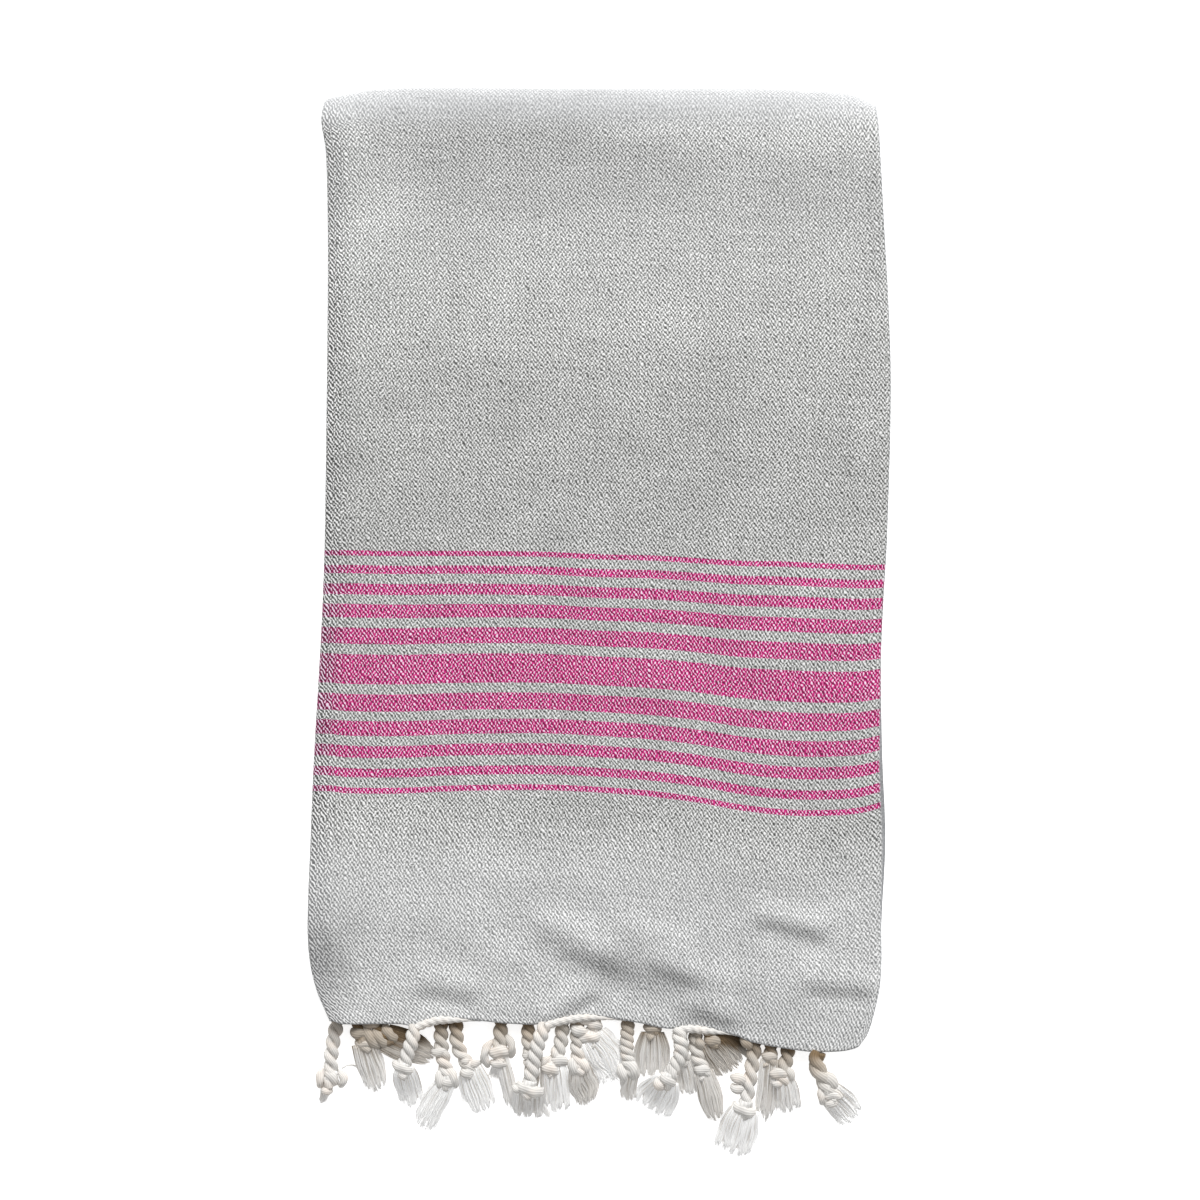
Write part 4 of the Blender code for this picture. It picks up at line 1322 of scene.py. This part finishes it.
@dataclass
class TasselBuilder:
    """Makes a tassel on its solid's line: plies, knot, tuft and the warp ends that lead to it."""

    GOLDEN = (math.sqrt(5) - 1) / 2

    cloth: FoldedCloth
    floor_cord: float = 4.9
    floor_knot: float = 6.5
    floor_tuft: float = 0.9
    upper_cord: float = 14.4
    upper_knot: float = 13.2
    root_long: float = 13.0
    root_out: float = 0.5
    root_under: float = 3.0
    root_sink: float = 1.6
    root_least: float = 0.4
    upper_root_least: float = 0.85
    root_grow: float = 7.0
    ply_radius: float = 3.6
    ply_flat: float = 0.88
    ply_apart: float = 3.15
    ply_apart_high: float = 1.8
    ply_evenness: float = 0.86
    ply_swell: float = 0.05
    ply_step: float = 1.2
    ply_rings_least: int = 12
    ply_sides: int = 20
    ply_lobes: Lobes = Lobes(9, 0.045, -34.0)
    core_half_long: float = 7.0
    core_half_wide: float = 6.5
    core_half_high: float = 4.6
    core_ends: Span = (4.0, 0.04)
    core_bound: float = 0.8
    knot_half_long: float = 9.5
    arc_rings: int = 22
    arc_sides: int = 18
    arc_rise: float = 2.6
    arc_dip: float = 5.4
    arc_flat: float = 0.82
    arc_ends: Span = (4.5, 0.03)
    arc_lobes: Lobes = Lobes(2, 0.11, 22.0)
    neck_half_high: float = 3.6
    neck_opening: float = 1.7
    yarn_radius: float = 0.5
    yarn_thick: Span = (0.85, 1.15)
    yarn_tip: float = 0.4
    yarn_sides: int = 4
    yarn_rings: int = 12
    yarn_clear: float = 0.1
    yarn_long: Span = (0.84, 1.04)
    yarn_level: Span = (0.45, 1.0)
    yarn_level_least: float = 0.1
    yarn_stray: float = 0.4
    yarns_least: int = 54
    yarns_per_mm: float = 6.4
    tuft_from: float = 0.1
    tuft_high: float = 5.6
    tuft_thins: float = 0.35
    tuft_fall: float = 1.25
    lock_uneven: float = 0.5
    lock_long: float = 0.08
    lock_gathered: float = 0.3
    wave_phase: Span = (0.0, 0.25)
    wave_turns: float = 1.3
    wave_high: float = 0.35
    wave_high_turns: float = 1.1
    wave_high_phase: float = 0.3
    round_tip: float = 0.13
    # Painted shade on some of the tuft's yarns, as dark lines between them: how many, and how deep.
    shaded_yarn_share: float = 0.36
    tuft_shade: Span = (0.1, 0.48)
    heart_share: float = 0.86
    # The heart's least painted shade, which shows as dark lines between the yarns.
    heart_shade: float = 0.22
    heart_level: float = 0.4
    heart_neck: float = 0.45
    heart_wide: Span = (0.88, 0.53)
    heart_sides: int = 48
    heart_lobes: Lobes = Lobes(17, 0.035, 400.0)
    heart_bound: float = 0.3
    wisp_yarns_per_mm: float = 3.0
    wisp_yarns_least: int = 3
    wisp_long: Span = (0.85, 1.05)
    wisp_start: float = 0.6
    wisp_high: Span = (0.8, 3.2)
    wisp_fall: float = 1.3
    wisp_tip: float = 0.3
    rope_radius: float = 3.7
    rope_end: float = 0.15
    rope_full: float = 0.35
    rope_up: float = 0.3
    rope_drop: float = 0.7
    rope_sink: float = 0.4
    rope_rings: int = 48
    rope_sides: int = 18
    rope_lobes: Lobes = Lobes(3, 0.12, 20.0)
    # Painted shade on the hem rope.
    rope_shade: float = 0.06
    rope_bound: float = 0.95
    shade_places: int = 4
    # The painted shade from the hem: how far it reaches, the least on the cords and knots, and the share
    # that reaches the knot's turns.
    root_shade_reach: float = 15.0
    cord_shade: float = 0.06
    knot_shade: float = 0.09
    knot_open: float = 0.6
    clear: float = 0.15
    room: float = 1.05
    knot_room: float = 1.1

    def build(self, number: int, tassel: Tassel, material: bpy.types.Material) -> bpy.types.Object:
        """Makes one tassel.

        Args:
            number: Its number, from 1.
            tassel: Its row of the table.
            material: Its finish.

        Returns:
            Its object.
        """
        self.random = np.random.default_rng(number)
        self.tassel = tassel
        upper = tassel.layer == "A"
        hem = self.cloth.hem_at(tassel.layer, tassel.root_x)
        start_y = hem - self.root_out if upper else hem + self.root_under
        self.root_z = self.cloth.layer_height(tassel.layer, tassel.root_x, hem)
        self.root_z -= 0.0 if upper else self.root_sink
        self.cord_z = self.upper_cord if upper else self.floor_cord
        self.knot_z = self.upper_knot if upper else self.floor_knot
        knot = np.array([tassel.knot_x, tassel.knot_y, 0.0])
        self.tip = np.array([tassel.tip_x, tassel.tip_y, 0.0])
        self.half_long = self.knot_half_long * tassel.size
        fall = (self.tip - knot) / np.linalg.norm(self.tip - knot)
        root = np.array([tassel.root_x, start_y, 0.0])
        middle = np.array([tassel.mid_x, tassel.mid_y, 0.0])
        self.line = SmoothLine([root, middle, knot, knot + fall * self.half_long])
        self.knot_at = self.line.long - self.half_long
        bundle = YarnBundle()
        self.add_plies(bundle)
        self.add_core(bundle)
        for arc in tassel.arcs:
            self.add_arc(bundle, arc)
        self.add_tuft(bundle)
        for wisp in tassel.wisps:
            self.add_wisp(bundle, wisp)
        if tassel.hem_rope:
            self.add_hem_rope(bundle)
        name = f"knotted_tassel_{number:02d}"
        return finish_mesh(name, bundle.mesh(name), material)

    def height(self, distance: np.ndarray) -> np.ndarray:
        """How high the cord's middle lies, so far along it."""
        root = blend(self.root_z, self.cord_z, ease(distance / self.root_long))
        past = (distance - self.root_long) / max(self.knot_at - self.root_long, 1.0)
        return np.where(distance < self.root_long, root, blend(self.cord_z, self.knot_z, ease(past)))

    def middle(self, distance: np.ndarray) -> tuple[np.ndarray, np.ndarray]:
        """The cord's middle line and the level direction across it, at these distances."""
        points = self.line.at(distance)
        ahead = self.line.at(np.minimum(distance + 1.0, self.line.long))
        behind = self.line.at(np.maximum(distance - 1.0, 0.0))
        run = ahead - behind
        across = np.stack([run[:, 1], -run[:, 0], np.zeros(len(run))], axis=1)
        across = across / np.linalg.norm(across, axis=1, keepdims=True)
        points[:, 2] = self.height(distance)
        return points, across

    def shade(self, points: np.ndarray, least: float = 0.0) -> np.ndarray:
        """The painted shade that the hem lays on points, from 0 to 1, and less on the tassels that lie on
        top.
        """
        step = max(len(points) // self.shade_places, 1)
        hem = np.array([self.cloth.hem_at("A", x) for x in points[::step, 0]]).mean()
        near = np.exp(-np.maximum(hem - points[:, 1], 0.0) / self.root_shade_reach)
        return np.clip(near * self.tassel.shade, least, 1.0)

    def add_plies(self, bundle: YarnBundle) -> None:
        """Twists the cord's two plies round each other, from the hem into the knot."""
        tassel = self.tassel
        rings = max(int(self.line.long / self.ply_step), self.ply_rings_least)
        distance = np.linspace(0.0, self.line.long, rings)
        points, across = self.middle(distance)
        least = self.upper_root_least if tassel.layer == "A" else self.root_least
        size = blend(self.ply_evenness, 1.0, tassel.size) * tassel.cord
        grown = blend(least, 1.0, ease(distance / self.root_grow)) * size
        apart = self.ply_apart * tassel.apart
        apart_high = self.ply_apart_high * tassel.apart
        for ply in (0.0, math.pi):
            turn = 2 * math.pi * distance / tassel.pitch + ply + tassel.root_x
            path = points + across * (apart * grown * np.cos(turn))[:, None]
            path[:, 2] += apart_high * grown * np.sin(turn)
            wide = self.ply_radius * grown * (1 + self.ply_swell * np.sin(2 * turn + ply))
            path[:, 2] = np.maximum(path[:, 2], wide * self.ply_flat * self.room + self.clear)
            shade = self.shade(path, self.cord_shade)
            bundle.add(path, across, wide, wide * self.ply_flat, self.ply_sides, self.ply_lobes, shade, 1.0)

    def add_core(self, bundle: YarnBundle) -> None:
        """Fills the knot's middle, which its turns lie on."""
        size = self.tassel.size
        along = np.linspace(-1.0, 1.0, self.arc_rings)
        points, across = self.middle(self.knot_at + along * self.core_half_long * size)
        round_end = self.rounded(along, *self.core_ends)
        high = self.core_half_high * size * round_end
        points[:, 2] = np.maximum(points[:, 2], high * self.knot_room + self.clear)
        wide = self.core_half_wide * size * round_end
        shade = self.shade(points, self.cord_shade)
        bundle.add(points, across, wide, high, self.arc_sides, self.arc_lobes, shade, self.core_bound)

    def rounded(self, along: np.ndarray, power: float, least: float) -> np.ndarray:
        """1 in the middle and the least at both ends, the more suddenly the higher the power."""
        return np.sqrt(np.maximum(1 - np.abs(along) ** power, least))

    def bowed(self, run: Union[Arc, Wisp]) -> tuple[np.ndarray, np.ndarray, np.ndarray, np.ndarray]:
        """Where a run starts, the bend it sets off towards, where it ends, and the way to its left."""
        start = np.array([run.x1, run.y1, 0.0])
        end = np.array([run.x2, run.y2, 0.0])
        ahead = end - start
        left = np.array([-ahead[1], ahead[0], 0.0]) / np.linalg.norm(ahead)
        return start, (start + end) / 2 + left * 2 * run.bow, end, left

    def add_arc(self, bundle: YarnBundle, arc: Arc) -> None:
        """Lays one turn of the knot, which comes up at one end and goes under at the other."""
        start, bend, end, _ = self.bowed(arc)
        share = np.linspace(0.0, 1.0, self.arc_rings)
        path = self.bezier(start, bend, end, share)
        wide = arc.half * self.rounded(2 * share - 1, *self.arc_ends)
        high = wide * self.arc_flat
        path[:, 2] = self.knot_z - self.arc_dip
        path[:, 2] += (self.arc_rise + self.arc_dip) * np.sqrt(np.sin(math.pi * share).clip(0.0))
        path[:, 2] = np.maximum(path[:, 2], high * self.knot_room + self.clear)
        aside = -self.aside(path)
        shade = self.shade(path, self.knot_shade) * self.knot_open
        bundle.add(path, aside, wide, high, self.arc_sides, self.arc_lobes, shade, 1.0)

    def add_wisp(self, bundle: YarnBundle, wisp: Wisp) -> None:
        """Lays a few loose yarns apart from the tuft."""
        start, bend, end, left = self.bowed(wisp)
        share = np.linspace(0.0, 1.0, self.yarn_rings)
        count = max(int(wisp.wide * self.wisp_yarns_per_mm), self.wisp_yarns_least)
        for k in range(count):
            side = 2 * (k + 0.5) / count - 1
            path = self.bezier(start, bend, end, share * self.random.uniform(*self.wisp_long))
            apart = side * wisp.wide / 2 * blend(self.wisp_start, 1.0, share)
            path = path + left * (apart + self.stray(share))[:, None]
            high = self.random.uniform(*self.wisp_high)
            path[:, 2] = blend(self.floor_cord, high, ease(share * self.wisp_fall))
            radius = self.yarn_radius * blend(1.0, self.wisp_tip, share**3)
            aside = np.tile(left, (len(path), 1))
            shade = self.shade(path, self.tassel.tuft_shade)
            bundle.add(path, aside, radius, radius, self.yarn_sides, Lobes(), shade, 0.0)

    def stray(self, share: np.ndarray) -> np.ndarray:
        """How far a yarn strays aside, more and more towards its end."""
        return self.random.normal(0.0, self.yarn_stray) * share**2

    def add_tuft(self, bundle: YarnBundle) -> None:
        """Lets the loose yarns fall from the knot to the floor, in locks that part at their ends."""
        tassel = self.tassel
        count = int(self.yarns_least + self.yarns_per_mm * tassel.spread)
        starts, _ = self.middle(np.array([self.knot_at + self.tuft_from * self.half_long]))
        _, end_acrosses = self.middle(np.array([self.line.long]))
        start = starts[0]
        fall = np.array([-end_acrosses[0][1], end_acrosses[0][0], 0.0])
        reach = self.tip - start * np.array([1.0, 1.0, 0.0])
        long = float(np.linalg.norm(reach))
        bend = start + fall * np.sign(fall @ reach) * long / 2
        share = np.linspace(0.0, 1.0, self.yarn_rings)
        full = tassel.spread / 2
        half = full * blend(tassel.neck, 1.0, 1 - (1 - share) ** self.neck_opening)
        half = half * (1 + (tassel.bell - 1) * np.sin(math.pi * share))
        self.add_heart(bundle, start, bend, share, half)
        locks = self.random.uniform(-self.lock_uneven, self.lock_uneven, tassel.locks)
        for k in range(count):
            side = 2 * (k * self.GOLDEN % 1.0) - 1
            level = math.sqrt(max(1 - side**2, self.yarn_level_least))
            level *= self.random.uniform(*self.yarn_level)
            lock = min(int((side + 1) / 2 * tassel.locks), tassel.locks - 1)
            gone = share * self.random.uniform(*self.yarn_long)
            gone = gone * (1 + self.lock_long * locks[lock] - self.round_tip * side**2)
            path = self.bezier(start, bend, self.tip, gone)
            aside = self.aside(path)
            gathered = blend(side, (2 * lock + 1) / tassel.locks - 1, self.lock_gathered * share**3)
            phase = self.random.uniform(*self.wave_phase) + locks[lock]
            wave = tassel.wave * share * np.sin(2 * math.pi * (self.wave_turns * share + phase))
            path = path + aside * (gathered * half + wave + self.stray(share))[:, None]
            neck_z = start[2] + level * self.neck_half_high * tassel.size
            fallen = self.floor_tuft + self.tuft_high * level * blend(1.0, self.tuft_thins, share**2)
            turn = 2 * math.pi * (self.wave_high_turns * share + phase + self.wave_high_phase)
            path[:, 2] = blend(neck_z, fallen, ease(share * self.tuft_fall))
            path[:, 2] += self.wave_high * tassel.wave * share * np.sin(turn)
            path[:, 2] = np.maximum(path[:, 2], self.yarn_radius + self.yarn_clear)
            radius = self.yarn_radius * blend(1.0, self.yarn_tip, share**4)
            radius = radius * self.random.uniform(*self.yarn_thick)
            # Painted shade: some yarns are darker, as the shade between them, on top of the tassel's own
            # shade on its tuft.
            tuft_shade = self.random.uniform(*self.tuft_shade) if self.random.random() < self.shaded_yarn_share else 0.0
            shade = np.minimum(self.shade(path, tassel.tuft_shade) + tuft_shade * (1 - share**2), 1.0)
            bundle.add(path, aside, radius, radius, self.yarn_sides, Lobes(), shade, 0.0)

    def add_heart(
        self, bundle: YarnBundle, start: np.ndarray, bend: np.ndarray, share: np.ndarray, half: np.ndarray
    ) -> None:
        """Fills the tuft under its outer yarns, with painted shade so that dark lines show between them.

        Args:
            bundle: The tassel's tubes.
            start: Where the tuft leaves the knot.
            bend: The point its curve sets off towards.
            share: The shares of its length to make it at.
            half: Half the tuft's width at each of them.
        """
        path = self.bezier(start, bend, self.tip, share * self.heart_share)
        under = self.tuft_high * self.heart_level * blend(1.0, self.tuft_thins, share**2)
        high = blend(self.neck_half_high * self.heart_neck, (self.floor_tuft + under) / 2, ease(share))
        wide = half * blend(*self.heart_wide, share**2)
        fallen = blend(start[2], high + self.clear, ease(share * self.tuft_fall))
        path[:, 2] = np.maximum(fallen, high * self.room + self.clear)
        aside = self.aside(path)
        shade = self.shade(path, max(self.tassel.tuft_shade, self.heart_shade))
        bundle.add(path, aside, wide, high, self.heart_sides, self.heart_lobes, shade, self.heart_bound)

    def aside(self, path: np.ndarray) -> np.ndarray:
        """The level direction across a path, at each of its points."""
        run = np.gradient(path, axis=0)
        across = np.stack([run[:, 1], -run[:, 0], np.zeros(len(run))], axis=1)
        return across / np.maximum(np.linalg.norm(across, axis=1, keepdims=True), 1e-9)

    def bezier(self, start: np.ndarray, bend: np.ndarray, end: np.ndarray, share: np.ndarray) -> np.ndarray:
        """The points of a curve from start to end that sets off towards the bend."""
        share = share[:, None]
        return blend(blend(start, bend, share), blend(bend, end, share), share)

    def add_hem_rope(self, bundle: YarnBundle) -> None:
        """Lays the warp ends that run along the hem to the tassel, thinning away from it."""
        share = np.linspace(0.0, 1.0, self.rope_rings)
        x = self.tassel.root_x + share * self.tassel.hem_rope
        hem = np.array([self.cloth.hem_at("A", at) for at in x])
        thinned = ease((share - self.rope_full) / (1 - self.rope_full))
        radius = self.rope_radius * blend(1.0, self.rope_end, thinned)
        y = hem + self.rope_up - radius * self.rope_drop
        z = np.array([self.cloth.layer_height("A", at, low) for at, low in zip(x, hem)])
        path = np.stack([x, y, z - self.rope_sink], axis=1)
        aside = np.tile(np.array([0.0, -1.0, 0.0]), (self.rope_rings, 1))
        shade = np.full(self.rope_rings, self.rope_shade)
        bundle.add(path, aside, radius, radius, self.rope_sides, self.rope_lobes, shade, self.rope_bound)

    def dress(self, made: bpy.types.Object, number: int) -> None:
        """Puts a tassel on its body, in place of its solid."""
        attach(made, BODY)
        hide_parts(f"tassel_{number:02d}")


# ---------------------------------------------------------------- the studio


@dataclass
class Studio:
    """A plain pale floor, soft light from the top of the view, and the camera straight above."""

    frame_wide: float = 1062.0
    look_x: float = 0.4
    look_y: float = 20.4
    camera_high: float = 3200.0
    towel_top: float = 18.0
    sensor: float = 36.0
    floor_half: float = 40000.0
    floor_cells: int = 4
    floor_drop: float = 0.2
    sky: float = 0.46
    key_strength: float = 3.75
    key_softness: float = 32.0
    key_from: tuple[float, float, float] = (0.2, 1.25, 0.85)

    def build(self) -> None:
        """Makes the floor, the lights and the camera."""
        self.add_floor()
        self.add_light()
        self.add_camera()

    def add_floor(self) -> None:
        """Lays the floor just under the towel."""
        bm = bmesh.new()
        cells = self.floor_cells
        bmesh.ops.create_grid(bm, x_segments=cells, y_segments=cells, size=self.floor_half * MM)
        bmesh.ops.translate(bm, vec=(0, 0, -self.floor_drop * MM), verts=bm.verts)
        mesh = bpy.data.meshes.new("floor")
        bm.to_mesh(mesh)
        bm.free()
        finish_mesh("floor", mesh, PaleFloor().make())

    def add_light(self) -> None:
        """Hangs a broad soft light past the top fold, under an even sky."""
        world = bpy.data.worlds.new("Even sky")
        world.use_nodes = True
        sky = world.node_tree.nodes["Background"]
        sky.inputs["Color"].default_value = WHITE
        sky.inputs["Strength"].default_value = self.sky
        bpy.context.scene.world = world
        light = bpy.data.lights.new("Key light", "SUN")
        light.energy = self.key_strength
        light.angle = math.radians(self.key_softness)
        key = bpy.data.objects.new("Key light", light)
        key.location = Vector(self.key_from)
        key.rotation_euler = (-key.location).to_track_quat("-Z", "Y").to_euler()
        bpy.context.scene.collection.objects.link(key)
        bpy.context.scene.view_settings.view_transform = "Standard"

    def add_camera(self) -> None:
        """Hangs the camera straight above, framed as the photograph is."""
        camera = bpy.data.cameras.new("Camera")
        camera.sensor_width = self.sensor
        camera.lens = self.sensor * (self.camera_high - self.towel_top) / self.frame_wide
        hung = bpy.data.objects.new("Camera", camera)
        hung.location = Vector((self.look_x, self.look_y, self.camera_high)) * MM
        bpy.context.scene.collection.objects.link(hung)
        bpy.context.scene.camera = hung


def main() -> None:
    """Builds the towel's pieces in order, and the studio round them."""
    logging.basicConfig(level=logging.INFO, format="%(name)s: %(message)s")
    Studio().build()
    cloth_form = FoldedCloth()
    builder = TasselBuilder(cloth_form)
    yarn = CottonYarn().make()
    tassels = []
    for number, row in enumerate(TASSELS, start=1):
        made = builder.build(number, row, yarn)
        builder.dress(made, number)
        LOG.info("%s: %d faces", made.name, len(made.data.polygons))
        tassels.append(made)
    cloth = cloth_form.build()
    cloth_form.dress(cloth, tassels)
    LOG.info("%s: %d faces before its thickness", cloth.name, len(cloth.data.polygons))


if __name__ == "__main__":
    main()
